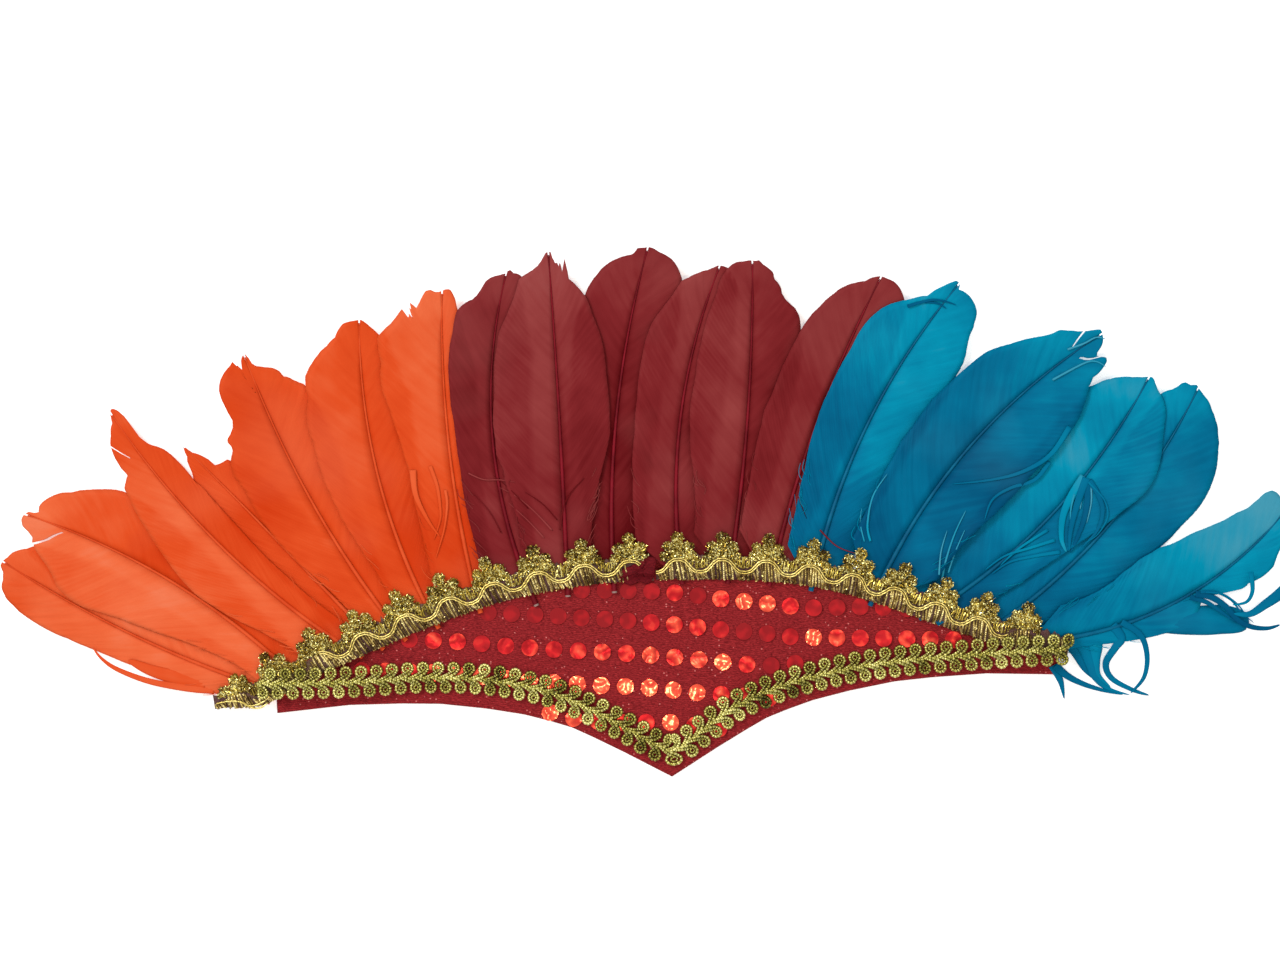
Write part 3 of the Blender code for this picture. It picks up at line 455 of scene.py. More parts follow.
# Loose ends of the lace's cords at the left, and the dark patch at its join
TAIL_CORDS = [[(-158.8, 4.9), (-155.2, 5.4), (-151.0, 5.2), (-147.6, 3.6), (-144.7, 3.8), (-141.8, 5.1),
               (-140.2, 6.6)],
              [(-153.8, 5.7), (-149.6, 4.8), (-146.9, 2.9), (-143.4, 2.7), (-141.0, 4.2)]]
JOIN_PATCH = [(-15.6, 41.4), (-14.2, 44.6), (-10.4, 46.2), (-6.4, 47.9), (-4.2, 49.0), (-1.8, 47.8),
              (-2.4, 44.6), (-3.0, 41.6), (-5.0, 39.4), (-8.2, 40.2), (-11.6, 39.2)]
# Quills that show below the lace, with how far they run past the lace line
LONG_TAILS = {"feather_red_1": 0.0090, "feather_red_2": 0.0082, "feather_red_3": 0.0086}

# Down hairs of a feather, and of the feathers that have more
USUAL_DOWN = 12
DOWN_COUNTS = {"feather_blue_1": 40, "feather_red_1": 30, "feather_red_2": 26}

# Camera, from the photograph: straight above, rolled a little
FRAME_WIDTH = 0.45184
CAMERA_HEIGHT = 0.90
CAMERA_SPOT = (-0.0061, 0.0761)
CAMERA_ROLL = math.radians(-2.84)
SENSOR = 36.0
CAMERA_LIFT = 0.004
CLIP_NEAR = 0.01
CLIP_FAR = 20.0

# Floor and lamps, and how bright a face turned to the camera is lit
FLOOR_HALF = 3.0
FLOOR_DROP = 0.0002
LIGHT_LEVEL = 1.30
GLINT_SPOT = (0.022, -0.085)
KEY_LAMP = {"spot": (-0.55, 0.55, 1.0), "aim": (0.0, 0.05, 0.0), "size": 0.4, "power": 7.0}
GLINT_LAMP = {"spot": (*GLINT_SPOT, CAMERA_HEIGHT), "aim": (0.0, 0.0, 0.0), "size": 0.10, "power": 1.7}
WHITE = (1.0, 1.0, 1.0)
WARM = (1.0, 0.84, 0.62)


# Lines in plan

def ease(low, high, value):
    share = np.clip((np.asarray(value, float) - low) / (high - low), 0.0, 1.0)
    return share * share * (3 - 2 * share)


def smooth_line(points, per_span):
    # A smooth curve through the plan points, as positions in metres
    spots = np.array(points, float)
    last = len(spots) - 1
    line = []
    for i in range(last):
        a, b, c, d = spots[max(i - 1, 0)], spots[i], spots[i + 1], spots[min(i + 2, last)]
        for j in range(per_span + (i == last - 1)):
            t = j / per_span
            value = 2 * b + (c - a) * t + (2 * a - 5 * b + 4 * c - d) * t * t
            value = value + (3 * b - a - 3 * c + d) * t ** 3
            line.append(value / 2 * PLAN)
    return np.array(line)


def lengths_along(line):
    return np.concatenate(([0.0], np.cumsum(np.linalg.norm(np.diff(line, axis=0), axis=1))))


def place_on(line, run, along):
    # Positions and upward normals at distances along a plan line
    along = np.clip(np.asarray(along, float), 0.0, run[-1])
    spots = np.stack([np.interp(along, run, line[:, k]) for k in (0, 1)], axis=-1)
    ahead = np.stack([np.interp(np.clip(along + NORMAL_STEP, 0, run[-1]), run, line[:, k])
                      - np.interp(np.clip(along - NORMAL_STEP, 0, run[-1]), run, line[:, k]) for k in (0, 1)],
                     axis=-1)
    ahead /= np.linalg.norm(ahead, axis=-1, keepdims=True)
    return spots, np.stack([-ahead[..., 1], ahead[..., 0]], axis=-1)


def raised(plan, height):
    return np.concatenate([plan, np.asarray(height, float)[..., None]], axis=-1)


def right_of(ahead):
    return np.stack([ahead[..., 1], -ahead[..., 0]], axis=-1)


def along_at(line, run, across):
    return float(np.interp(across * PLAN, line[:, 0], run))


def distance_beyond(spots):
    # Distance of plan positions from the lace line, positive on the feathers' side
    flat = spots.reshape(-1, 2)
    best = np.full(len(flat), FAR_AWAY)
    sign = np.ones(len(flat))
    for start, way in zip(LACE[:-1], np.diff(LACE, axis=0)):
        share = np.clip((flat - start) @ way / (way @ way), 0.0, 1.0)
        away = flat - start - share[:, None] * way
        size = np.hypot(away[:, 0], away[:, 1])
        near = size < best
        best[near] = size[near]
        side = way[0] * away[:, 1] - way[1] * away[:, 0]
        sign[near] = np.where(side[near] >= 0, 1.0, -1.0)
    return (sign * best).reshape(spots.shape[:-1])


# Meshes

class Shape:
    # Collects the points and faces of one piece; flow holds along, across and tone for its material
    def __init__(self):
        self.points = []
        self.faces = []
        self.flow = []
        self.count = 0

    def add(self, points, faces, flow=None):
        points = np.asarray(points, float).reshape(-1, 3)
        for group in faces:
            self.faces += (np.asarray(group, int) + self.count).tolist()
        self.points.append(points)
        held = np.zeros((len(points), 3)) if flow is None else np.asarray(flow, float).reshape(-1, 3)
        self.flow.append(held)
        self.count += len(points)

    def piece(self, name, look, thickness=0.0, smooth=True):
        mesh = bpy.data.meshes.new(name)
        mesh.from_pydata(np.concatenate(self.points).tolist(), [], self.faces)
        mesh.materials.append(look)
        mesh.polygons.foreach_set("use_smooth", [smooth] * len(self.faces))
        held = mesh.attributes.new("flow", "FLOAT_VECTOR", "POINT")
        held.data.foreach_set("vector", np.concatenate(self.flow).ravel())
        mesh.update()
        if smooth:
            mesh.set_sharp_from_angle(angle=SHARP_ANGLE)
        made = linked(name, mesh)
        if thickness:
            shell = made.modifiers.new("thickness", "SOLIDIFY")
            shell.thickness = thickness
            shell.offset = 0.0
        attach(made, "root")
        return made


def linked(name, data):
    made = bpy.data.objects.new(name, data)
    bpy.context.scene.collection.objects.link(made)
    return made


def grid_faces(rows, columns, keep=None):
    i, j = np.meshgrid(np.arange(rows - 1), np.arange(columns - 1), indexing="ij")
    first = i * columns + j
    quads = np.stack([first, first + 1, first + columns + 1, first + columns], axis=-1)
    return quads.reshape(-1, 4) if keep is None else quads[keep]


def ring_faces(rows, columns):
    # Quads between rings of points, each ring closed on itself
    i, j = np.meshgrid(np.arange(rows - 1), np.arange(columns), indexing="ij")
    k = (j + 1) % columns
    low, high = i * columns, (i + 1) * columns
    return np.stack([low + j, high + j, high + k, low + k], axis=-1).reshape(-1, 4)


def tube(shape, path, radius, sides, tone):
    # A round strand along a path that runs mostly in plan, closed at both ends
    path = np.asarray(path, float)
    radius = np.broadcast_to(np.asarray(radius, float), (len(path),))
    ahead = np.gradient(path, axis=0)
    ahead /= np.maximum(np.linalg.norm(ahead, axis=1, keepdims=True), TINY)
    side = np.cross(ahead, (0.0, 0.0, 1.0))
    side /= np.maximum(np.linalg.norm(side, axis=1, keepdims=True), TINY)
    up = np.cross(side, ahead)
    turn = np.arange(sides) * 2 * math.pi / sides
    ring = side[:, None] * np.cos(turn)[None, :, None] + up[:, None] * np.sin(turn)[None, :, None]
    points = path[:, None] + ring * radius[:, None, None]
    caps = [list(range(sides)), list(range(len(path) * sides - 1, (len(path) - 1) * sides - 1, -1))]
    run = lengths_along(path)
    flow = np.stack([np.repeat(run, sides), np.tile(turn, len(path)),
                     np.repeat(np.broadcast_to(tone, (len(path),)), sides)], axis=-1)
    shape.add(points, [ring_faces(len(path), sides), caps], flow)


def grains(shape, centres, sizes, tones, luck):
    # Small faceted specks: stretched eight-sided grains turned at random
    count = len(centres)
    base = np.array([(1.5, 0, 0), (-1.5, 0, 0), (0, 1, 0), (0, -1, 0), (0, 0, 1), (0, 0, -1)], float)
    w, x, y, z = luck.normal(size=(count, 4)).T
    size = np.sqrt(w * w + x * x + y * y + z * z)
    w, x, y, z = w / size, x / size, y / size, z / size
    turn = np.array([[1 - 2 * (y * y + z * z), 2 * (x * y - z * w), 2 * (x * z + y * w)],
                     [2 * (x * y + z * w), 1 - 2 * (x * x + z * z), 2 * (y * z - x * w)],
                     [2 * (x * z - y * w), 2 * (y * z + x * w), 1 - 2 * (x * x + y * y)]])
    points = centres[:, None] + np.einsum("abn,kb->nka", turn, base) * sizes[:, None, None]
    sides = np.array([(0, 2, 4), (2, 1, 4), (1, 3, 4), (3, 0, 4), (2, 0, 5), (1, 2, 5), (3, 1, 5), (0, 3, 5)])
    faces = (np.arange(count)[:, None, None] * 6 + sides).reshape(-1, 3)
    flow = np.zeros((count, 6, 3))
    flow[..., 2] = tones[:, None]
    shape.add(points, [faces], flow)


def ribbon(shape, points, widths, heights, tone, lift):
    # A flat tapering strand of barbs, arched a little across
    line = smooth_line(points, 7)
    share = np.linspace(0.0, 1.0, len(line))
    ahead = np.gradient(line, axis=0)
    ahead /= np.linalg.norm(ahead, axis=1, keepdims=True)
    side = right_of(ahead)
    width = (widths[0] + (widths[1] - widths[0]) * share) * 0.001 / 2 * np.sqrt(1.002 - share ** 6)
    if heights[0] is None:
        height = vane_top(line)
        height = np.convolve(np.pad(height, 3, mode="edge"), np.ones(7) / 7, mode="valid") + lift
    else:
        height = (heights[0] + (heights[1] - heights[0]) * share) * 0.001
    columns = np.linspace(-1.0, 1.0, 7)
    plan = line[:, None] + side[:, None] * (columns[None, :, None] * width[:, None, None])
    arch = height[:, None] + 0.12 * width[:, None] * (1 - columns[None] ** 2)
    run = lengths_along(line)
    flow = np.stack(np.broadcast_arrays(columns[None] * width[:, None] * 10, run[:, None] * 40,
                                        tone + 0.06 * np.abs(columns)[None]), axis=-1)
    shape.add(raised(plan, arch), [grid_faces(len(line), 7)], flow)


# Materials

class Nodes:
    # A short way to write a material's nodes
    def __init__(self, name):
        self.made = bpy.data.materials.new(name)
        self.made.use_nodes = True
        self.tree = self.made.node_tree
        self.shader = self.tree.nodes["Principled BSDF"]

    def node(self, kind, inputs=(), **settings):
        made = self.tree.nodes.new(kind)
        for key, value in settings.items():
            setattr(made, key, value)
        for key, value in dict(inputs).items():
            self.put(made.inputs[key], value)
        return made

    def put(self, socket, value):
        if isinstance(value, bpy.types.NodeSocket):
            self.tree.links.new(value, socket)
        else:
            socket.default_value = value

    def flow(self):
        held = self.node("ShaderNodeAttribute", attribute_name="flow", attribute_type="GEOMETRY")
        return self.node("ShaderNodeSeparateXYZ", {"Vector": held.outputs["Vector"]}).outputs

    def place(self):
        return self.node("ShaderNodeTexCoord").outputs["Object"]

    def math(self, operation, a, b=0.0):
        made = self.node("ShaderNodeMath", operation=operation)
        self.put(made.inputs[0], a)
        self.put(made.inputs[1], b)
        return made.outputs[0]

    def mix(self, share, a, b):
        made = self.node("ShaderNodeMix", data_type="RGBA")
        self.put(made.inputs[0], share)
        self.put(made.inputs[6], a)
        self.put(made.inputs[7], b)
        return made.outputs[2]

    def ramp(self, level, stops):
        # The colour that runs from stop to stop as the level passes their places
        colour = stops[0][1]
        for (low, _), (high, after) in zip(stops, stops[1:]):
            colour = self.mix(self.remap(level, low, high), colour, after)
        return colour

    def remap(self, value, low, high, new_low=0.0, new_high=1.0):
        return self.node("ShaderNodeMapRange", {"Value": value, "From Min": low, "From Max": high,
                                                "To Min": new_low, "To Max": new_high}).outputs["Result"]

    def noise(self, vector, scale, detail=3.0, rough=0.5):
        return self.node("ShaderNodeTexNoise", {"Vector": vector, "Scale": scale, "Detail": detail,
                                                "Roughness": rough}).outputs["Fac"]

    def bump(self, height, strength, distance):
        made = self.node("ShaderNodeBump", {"Strength": strength, "Distance": distance, "Height": height})
        self.put(self.shader.inputs["Normal"], made.outputs["Normal"])

    def surface(self, **values):
        for key, value in values.items():
            self.put(self.shader.inputs[key.replace("_", " ")], value)
        return self.made


def srgb(red, green, blue):
    # Linear colour from 0 to 255 values
    def linear(value):
        share = value / 255.0
        return share / 12.92 if share <= 0.04045 else ((share + 0.055) / 1.055) ** 2.4
    return (linear(red), linear(green), linear(blue), 1.0)


def seen(red, green, blue):
    # The colour that looks like these 0 to 255 values on a face turned to the camera
    return (*[value / LIGHT_LEVEL for value in srgb(red, green, blue)[:3]], 1.0)


def feather_material(name, sheen_patches, sheen_colour, pale, middle, deep):
    # Vane: paler where it is thin, up to a dusty-looking painted sheen that also lies in random patches,
    # deeper where it is backed by another (painted shade), faintly streaked by its barbs
    m = Nodes(name)
    barb, reach, dye_and_shading = m.flow()
    stretched = m.node("ShaderNodeCombineXYZ", {"X": barb, "Y": m.math("MULTIPLY", reach, 0.035)}).outputs[0]
    fine = m.noise(stretched, 300.0, 2.0, 0.6)
    broad = m.noise(stretched, 30.0, 2.0, 0.5)
    cloud = m.noise(m.place(), 30.0, 3.0, 0.55)
    wander = m.math("ADD", m.remap(broad, 0.3, 0.7, -0.09, 0.09), m.remap(cloud, 0.3, 0.7, -0.28, 0.28))
    tone = m.math("ADD", dye_and_shading, wander)
    colour = m.ramp(tone, ((-0.5, sheen_colour), (0.0, pale), (0.5, middle), (1.0, deep)))
    # Painted sheen: pale, dusty-looking patches at random over the vane
    patch = m.noise(m.place(), 19.0, 2.0, 0.6)
    colour = m.mix(m.remap(patch, 0.52, 0.70, 0.0, sheen_patches), colour, sheen_colour)
    shade = m.remap(fine, 0.35, 0.65, 0.06, 0.0)
    m.bump(fine, 0.3, 0.00015)
    darkest = (*[part * 0.5 for part in deep[:3]], 1.0)
    return m.surface(Base_Color=m.mix(shade, colour, darkest), Roughness=0.5, Specular_IOR_Level=0.02)


def quill_material(name, colour, shade):
    # Dyed quill, pale horn where it is cut off
    m = Nodes(name)
    cloud = m.noise(m.place(), 120.0)
    dyed = m.mix(m.remap(cloud, 0.35, 0.65), colour, shade)
    cut = m.math("GREATER_THAN", m.flow()[2], 0.9)
    return m.surface(Base_Color=m.mix(cut, dyed, srgb(140, 115, 110)), Roughness=0.45,
                     Specular_IOR_Level=0.08)


def gold_material(name, bright, middle, dark, rough, twist, metal=0.8):
    # Metal thread from dark to bright by each strand's tone, with the fine winding that covers it and painted
    # shade in the winding's grooves
    m = Nodes(name)
    along, around, tone = m.flow()
    lay = m.math("ADD", m.math("MULTIPLY", along, twist), around)
    wound = m.remap(m.math("SINE", lay), -1.0, 1.0)
    wear = m.noise(m.place(), 160.0, 2.0, 0.6)
    level = m.math("ADD", tone, m.remap(wear, 0.3, 0.7, -0.22, 0.22))
    colour = m.ramp(level, ((0.0, dark), (0.5, middle), (1.0, bright)))
    m.bump(wound, 0.6, 0.00012)
    # Painted shade in the grooves between the turns of the winding
    return m.surface(Base_Color=m.mix(m.remap(wound, 0.0, 0.5, 0.5, 0.0), colour, dark), Roughness=rough,
                     Metallic=metal)


def gauze_material():
    # Dull net behind the lace's threads, stained by the feathers' dye in places
    m = Nodes("lace_gauze")
    place = m.place()
    weave = m.node("ShaderNodeTexVoronoi", {"Scale": 1500.0, "Vector": place}, feature="DISTANCE_TO_EDGE")
    hole = m.remap(weave.outputs["Distance"], 0.03, 0.14, 0.0, 0.6)
    stain = m.noise(place, 70.0, 3.0, 0.6)
    thread = m.mix(m.remap(stain, 0.40, 0.62), srgb(104, 84, 66), srgb(92, 62, 66))
    teal = m.mix(m.remap(m.noise(place, 26.0, 2.0), 0.60, 0.70, 0.0, 0.6), thread, srgb(46, 66, 80))
    m.bump(weave.outputs["Distance"], 0.5, 0.0002)
    return m.surface(Base_Color=m.mix(hole, teal, srgb(62, 22, 28)), Roughness=0.8, Specular_IOR_Level=0.2)


def cloth_material(name, ribs, dark, bright):
    # Dark red knit: fine broken ribs along the sequin rows and sparse glitter
    m = Nodes(name)
    place = m.place()
    slope = (0.0, 0.0, math.radians(7.0))
    turned = m.node("ShaderNodeMapping", {"Vector": place, "Rotation": slope}).outputs[0]
    wobble = m.noise(turned, 420.0, 2.0)
    up = m.node("ShaderNodeSeparateXYZ", {"Vector": turned}).outputs[1]
    row = m.math("SINE", m.math("ADD", m.math("MULTIPLY", up, 9000.0), m.math("MULTIPLY", wobble, 12.0)))
    dash = m.node("ShaderNodeMapping", {"Vector": turned, "Scale": (0.45, 1.5, 1.0)}).outputs[0]
    stitch = m.noise(dash, 2100.0, 2.0, 0.8)
    rib = m.math("MULTIPLY", m.remap(row, -1.0, 1.0, 1.0 - 0.65 * ribs, 1.0), m.remap(stitch, 0.34, 0.66))
    red = m.mix(rib, dark, bright)
    specks = m.node("ShaderNodeTexVoronoi", {"Scale": 1000.0, "Vector": place})
    chance = m.node("ShaderNodeSeparateColor", {"Color": specks.outputs["Color"]}).outputs[0]
    speck = m.math("MULTIPLY", m.math("LESS_THAN", specks.outputs["Distance"], 0.28),
                   m.remap(chance, 0.88, 0.96, 0.0, ribs))
    m.bump(rib, 0.4, 0.0002)
    return m.surface(Base_Color=m.mix(speck, red, seen(236, 134, 130)),
                     Roughness=m.math("SUBTRACT", 0.75, m.math("MULTIPLY", speck, 0.5)),
                     Specular_IOR_Level=0.1)


def sequin_material():
    # Red metallic film, crinkled; the tone is how much light each disc throws back
    m = Nodes("red_sequin_film")
    tone = m.flow()[2]
    crease = m.noise(m.place(), 340.0, 0.6, 0.4)
    level = m.math("ADD", tone, m.remap(crease, 0.35, 0.65, -0.2, 0.2))
    # Painted reflection: the film is painted from dark to bright red by how much light the disc throws back,
    # lighter and darker over its creases
    colour = m.ramp(level, ((0.0, srgb(138, 22, 28)), (0.45, srgb(176, 28, 34)), (1.0, srgb(240, 90, 66))))
    m.bump(m.math("MULTIPLY", crease, m.remap(tone, 0.0, 0.6, 0.15, 1.0)), 0.8, 0.0008)
    return m.surface(Base_Color=colour, Roughness=m.remap(tone, 0.2, 0.9, 0.45, 0.18),
                     Metallic=m.remap(tone, 0.1, 0.8, 0.0, 0.85), Specular_IOR_Level=0.06)


# Feathers

def rachis_at(row, t):
    # Plan positions of the quill at shares of its length, and unit vectors along it
    t = np.asarray(t, float)[..., None]
    lean = math.radians(row["lean"])
    up = np.array((math.sin(lean), math.cos(lean)))
    side = np.array((math.cos(lean), -math.sin(lean)))
    length = row["length"] * PLAN
    seat, _ = place_on(LACE, LACE_RUN, along_at(LACE, LACE_RUN, row["seat"]))
    spots = seat + up * (length * t) + side * (length * row["bow"] * 4 * t * (1 - t))
    along = up + side * (row["bow"] * 4 * (1 - 2 * t))
    return spots, along / np.linalg.norm(along, axis=-1, keepdims=True)


def half_width(row, side, t):
    # Smooth vane half width, rounded off at the tip and narrow under the lace
    t = np.asarray(t, float)
    widths = np.array(row[side], float)
    last = WIDTH_STATIONS[-1]
    fine = np.linspace(0.0, 1.0, 101)
    table = np.interp(fine, WIDTH_STATIONS, widths)
    span = 2 * WIDTH_SMOOTHING + 1
    table = np.convolve(np.pad(table, WIDTH_SMOOTHING, mode="edge"), np.ones(span) / span, mode="valid")
    width = np.interp(t, fine, table)
    share = np.clip((t - last + 0.02) / (1.02 - last), 0.0, 1.0)
    width = width * np.sqrt(1.0 - share ** 2.2)
    narrow = VANE_BASE_HALF_WIDTH + VANE_BASE_FLARE * np.maximum(t, 0.0) * row["length"] * PLAN
    return np.maximum(np.minimum(width * PLAN, narrow), NARROWEST_VANE)


def middle_height(distance):
    seat = PLAQUE_THICKNESS + FIT_GAP + QUILL_DIAMETER / 2
    leave = seat + LEAVE_RISE * ease(LEAVE_START, 0.0, distance)
    rest = leave + (REST_HEIGHT - leave) * ease(0.0, REST_DISTANCE, distance)
    share = np.maximum(0.0, (distance - LIFT_DISTANCE) / (TIP_DISTANCE - LIFT_DISTANCE))
    return rest + TIP_LIFT * share * share


def tilt_at(distance):
    return TILT_AT_LACE + (TILT_AT_TIPS - TILT_AT_LACE) * ease(0.0, TILT_DISTANCE, distance)


def about_pivot(row, plan):
    # Pivot near the tip, and the turn and distance of plan positions about it, 0 straight towards the tip
    spots, _ = rachis_at(row, np.array([CROWN_PIVOT, 1.0]))
    ahead = spots[1] - spots[0]
    ahead /= np.linalg.norm(ahead)
    away = plan - spots[0]
    across = away[..., 0] * ahead[1] - away[..., 1] * ahead[0]
    forward = away @ ahead
    return spots[0], np.arctan2(across, forward), np.hypot(across, forward)


def crowned(row, plan):
    # Plan positions moved so that the round tip takes the feather's own outline
    t = np.linspace(CROWN_START, 1.0, CROWN_STEPS)
    spots, along = rachis_at(row, t)
    side = right_of(along)
    left = spots - side * half_width(row, "left", t)[:, None]
    right = spots + side * half_width(row, "right", t)[:, None]
    _, plain_turn, plain_reach = about_pivot(row, np.concatenate([left, right[::-1]]))
    order = np.argsort(plain_turn)
    plain_turn, plain_reach = plain_turn[order], plain_reach[order]
    _, own_turn, own_reach = about_pivot(row, np.array(TIP_OUTLINES[row["name"]]) * PLAN)
    order = np.argsort(own_turn)
    own_turn, own_reach = own_turn[order], own_reach[order]
    stretch = own_reach / np.interp(own_turn, plain_turn, plain_reach)
    turns = np.concatenate([[own_turn[0] - CROWN_MARGIN], own_turn, [own_turn[-1] + CROWN_MARGIN]])
    stretch = np.concatenate([[1.0], stretch, [1.0]])
    pivot, turn, reach = about_pivot(row, plan)
    inner = ease(CROWN_START, 1.0, reach / np.interp(turn, plain_turn, plain_reach))
    scale = 1 + (np.interp(turn, turns, stretch) - 1) * inner
    return pivot + (plan - pivot) * scale[..., None]


def vane_points(row, t, across):
    # Points of the vane's middle surface at shares of the length and metres beside the quill
    spots, along = rachis_at(row, t)
    plan = crowned(row, spots + right_of(along) * across[..., None])
    distance = distance_beyond(plan)
    tilt = tilt_at(distance)
    over = np.where(across > 0, 1.0 if row["right_over"] else -1.0, 1.0 if row["left_over"] else -1.0)
    return raised(plan, middle_height(distance) + tilt * np.abs(across) * over)


def quill_radius(t):
    share = np.clip(t, 0.0, 1.0)
    return (QUILL_DIAMETER + (QUILL_TIP_DIAMETER - QUILL_DIAMETER) * share ** 0.7) / 2


def beside(row, plan, t):
    # For plan positions: the nearest station of a quill, and how far they lie to its right and ahead
    spots, along = rachis_at(row, t)
    away = plan[..., None, :] - spots
    nearest = np.argmin(np.einsum("...k,...k->...", away, away), axis=-1)
    offset = np.take_along_axis(away, nearest[..., None, None], axis=-2)[..., 0, :]
    way = along[nearest]
    across = offset[..., 0] * way[..., 1] - offset[..., 1] * way[..., 0]
    ahead = offset[..., 0] * way[..., 0] + offset[..., 1] * way[..., 1]
    return nearest, across, ahead


def width_beside(row, plan, t):
    # For plan positions beside a quill: how far to its right and ahead they lie, and the vane's width there
    nearest, across, ahead = beside(row, plan, t)
    right, left = half_width(row, "right", t), half_width(row, "left", t)
    return across, ahead, np.where(across > 0, right[nearest], left[nearest])


def backing_of(row, plan):
    # How far inside a neighbouring feather's outline each plan position lies, 0 outside to 1 inside; it sets
    # the painted shade where feathers overlap
    backed = np.zeros(plan.shape[:-1])
    sample = plan.reshape(-1, 2)[::17, None]
    for other in FEATHERS:
        spots, _ = rachis_at(other, QUILL_STATIONS)
        if other is row or np.min(np.linalg.norm(sample - spots[None, ::6], axis=-1)) > NEIGHBOUR_REACH:
            continue
        across, ahead, width = width_beside(other, plan, QUILL_STATIONS)
        inside = ease(-0.0006, 0.0010, width - np.abs(across)) * ease(END_REACH, 0.0, np.abs(ahead))
        backed = np.maximum(backed, inside)
    return backed


def vane_top(plan):
    # Height of the highest vane at plan positions
    distance = distance_beyond(plan)
    middle = middle_height(distance)
    tilt = tilt_at(distance)
    top = middle.copy()
    for row in FEATHERS:
        across, ahead, width = width_beside(row, plan, QUILL_STATIONS)
        inside = (np.abs(across) < width) & (np.abs(ahead) < END_REACH)
        over = np.where(across > 0, row["right_over"], row["left_over"])
        top = np.where(inside & over, np.maximum(top, middle + tilt * np.abs(across)), top)
    return top


def barb_rows(row, side):
    # Shares of the length where each barb leaves the quill and where it reaches the edge, even along the edge
    fine = np.linspace(-0.02, 1.0, 1200)
    steps = np.hypot(np.diff(fine) * row["length"] * PLAN, np.diff(half_width(row, side, fine)))
    run = np.concatenate(([0.0], np.cumsum(steps)))
    end = np.interp(np.linspace(0.0, run[-1], BARB_ROWS), run, fine)
    return end - BARB_SWEEP * ease(-0.05, 0.45, end) * (0.35 + 0.65 * np.sqrt(1.0 - end)), end


def vane(shape, row, side, luck):
    # One vane as a sheet whose rows run along the barbs, with its splits and uneven edge
    sign = SIDE_SIGN[side]
    length = row["length"] * PLAN
    start, end = barb_rows(row, side)
    reach = np.linspace(0.0, 1.0, BARB_COLUMNS) ** 0.85
    knots = np.linspace(0, 1, EDGE_KNOTS)
    edge = 1.0 + np.interp(end, knots, luck.normal(0.0, EDGE_WANDER, len(knots)))
    edge += luck.normal(0.0, EDGE_NICKS, BARB_ROWS)
    for where, share, depth, spread in WAISTS.get(row["name"], ()):
        if where == side:
            edge *= 1 - depth * np.exp(-((end - share) / spread) ** 2)
    shift = np.zeros((BARB_ROWS, BARB_COLUMNS))
    keep = np.ones((BARB_ROWS - 1, BARB_COLUMNS - 1), bool)
    for where, share, inner, opening in row["splits"]:
        if where != side:
            continue
        at = int(np.argmin(np.abs(end - share)))
        keep[at] &= reach[:-1] < inner
        fan = np.clip((reach - inner) / (1.0 - inner), 0.0, 1.0)
        steps = np.arange(BARB_ROWS) - at
        above = np.where(steps > 0, np.exp(-steps / SPLIT_FADE), 0.0)
        below = np.where(steps <= 0, np.exp(steps / SPLIT_FADE), 0.0)
        shift += (0.55 * above - 0.45 * below)[:, None] * fan[None] * opening * 0.001 / length
    t = start[:, None] + (end - start)[:, None] * reach[None] ** 1.15 + shift
    across = sign * (half_width(row, side, end) * edge)[:, None] * reach[None]
    points = vane_points(row, t, across)
    camber = CAMBER * np.sin(math.pi * reach)[None]
    wave = VANE_WAVE * np.sin(start * VANE_WAVES + luck.uniform(0, 6))[:, None] * reach
    ruffle = np.convolve(luck.standard_normal(BARB_ROWS), np.ones(3) / 3, mode="same")
    hollow = QUILL_HOLLOW * np.exp(-np.abs(across) / HOLLOW_REACH)
    points[..., 2] += camber + wave + RUFFLE * ruffle[:, None] * reach[None] - hollow
    # Tone of the vane: the side's table of dye with painted light and shade, then painted shade where another
    # feather backs it and beside the quill, and painted light at its thin edge
    dye_and_shading = np.interp(t, DYE_AND_SHADING_STATIONS, row[side + "_dye_and_shading"])
    dye_and_shading = dye_and_shading + OVERLAP_SHADE * (backing_of(row, points[..., :2]) - OVERLAP_SHADE_LEVEL)
    dye_and_shading = dye_and_shading + QUILL_PAINTED_SHADE * np.exp(-reach / QUILL_FADE)[None] - EDGE_PAINTED_LIGHT * ease(0.90, 1.0, reach)[None]
    barb = np.broadcast_to(start[:, None] * length * 10 + 3.0 * (sign > 0), t.shape)
    flow = np.stack([barb, np.broadcast_to(reach[None], t.shape), dye_and_shading], axis=-1)
    shape.add(points, [grid_faces(BARB_ROWS, BARB_COLUMNS, keep)], flow)


def down(shape, row, luck, count, reach_mm):
    # Fine loose barbs along the lower edges of the vanes
    for _ in range(count):
        side = "left" if luck.random() < 0.5 else "right"
        sign = SIDE_SIGN[side]
        t = luck.uniform(*DOWN_ALONG)
        length = row["length"] * PLAN
        steps = np.linspace(0.0, 1.0, 6)
        far = luck.uniform(0.5, 1.0) * reach_mm * 0.001
        across = sign * (half_width(row, side, t) * luck.uniform(*DOWN_ACROSS) + far * 0.55 * steps)
        line = vane_points(row, t + far * steps ** 1.3 / length, across)
        bend = far * 0.18 * luck.standard_normal() * np.sin(steps * 3.0)
        line[:, 0] += bend
        line[:, 2] += DOWN_LIFT[0] + DOWN_LIFT[1] * steps
        tube(shape, line, HAIR * (1.1 - 0.8 * steps), 3, luck.uniform(0.0, 0.5))


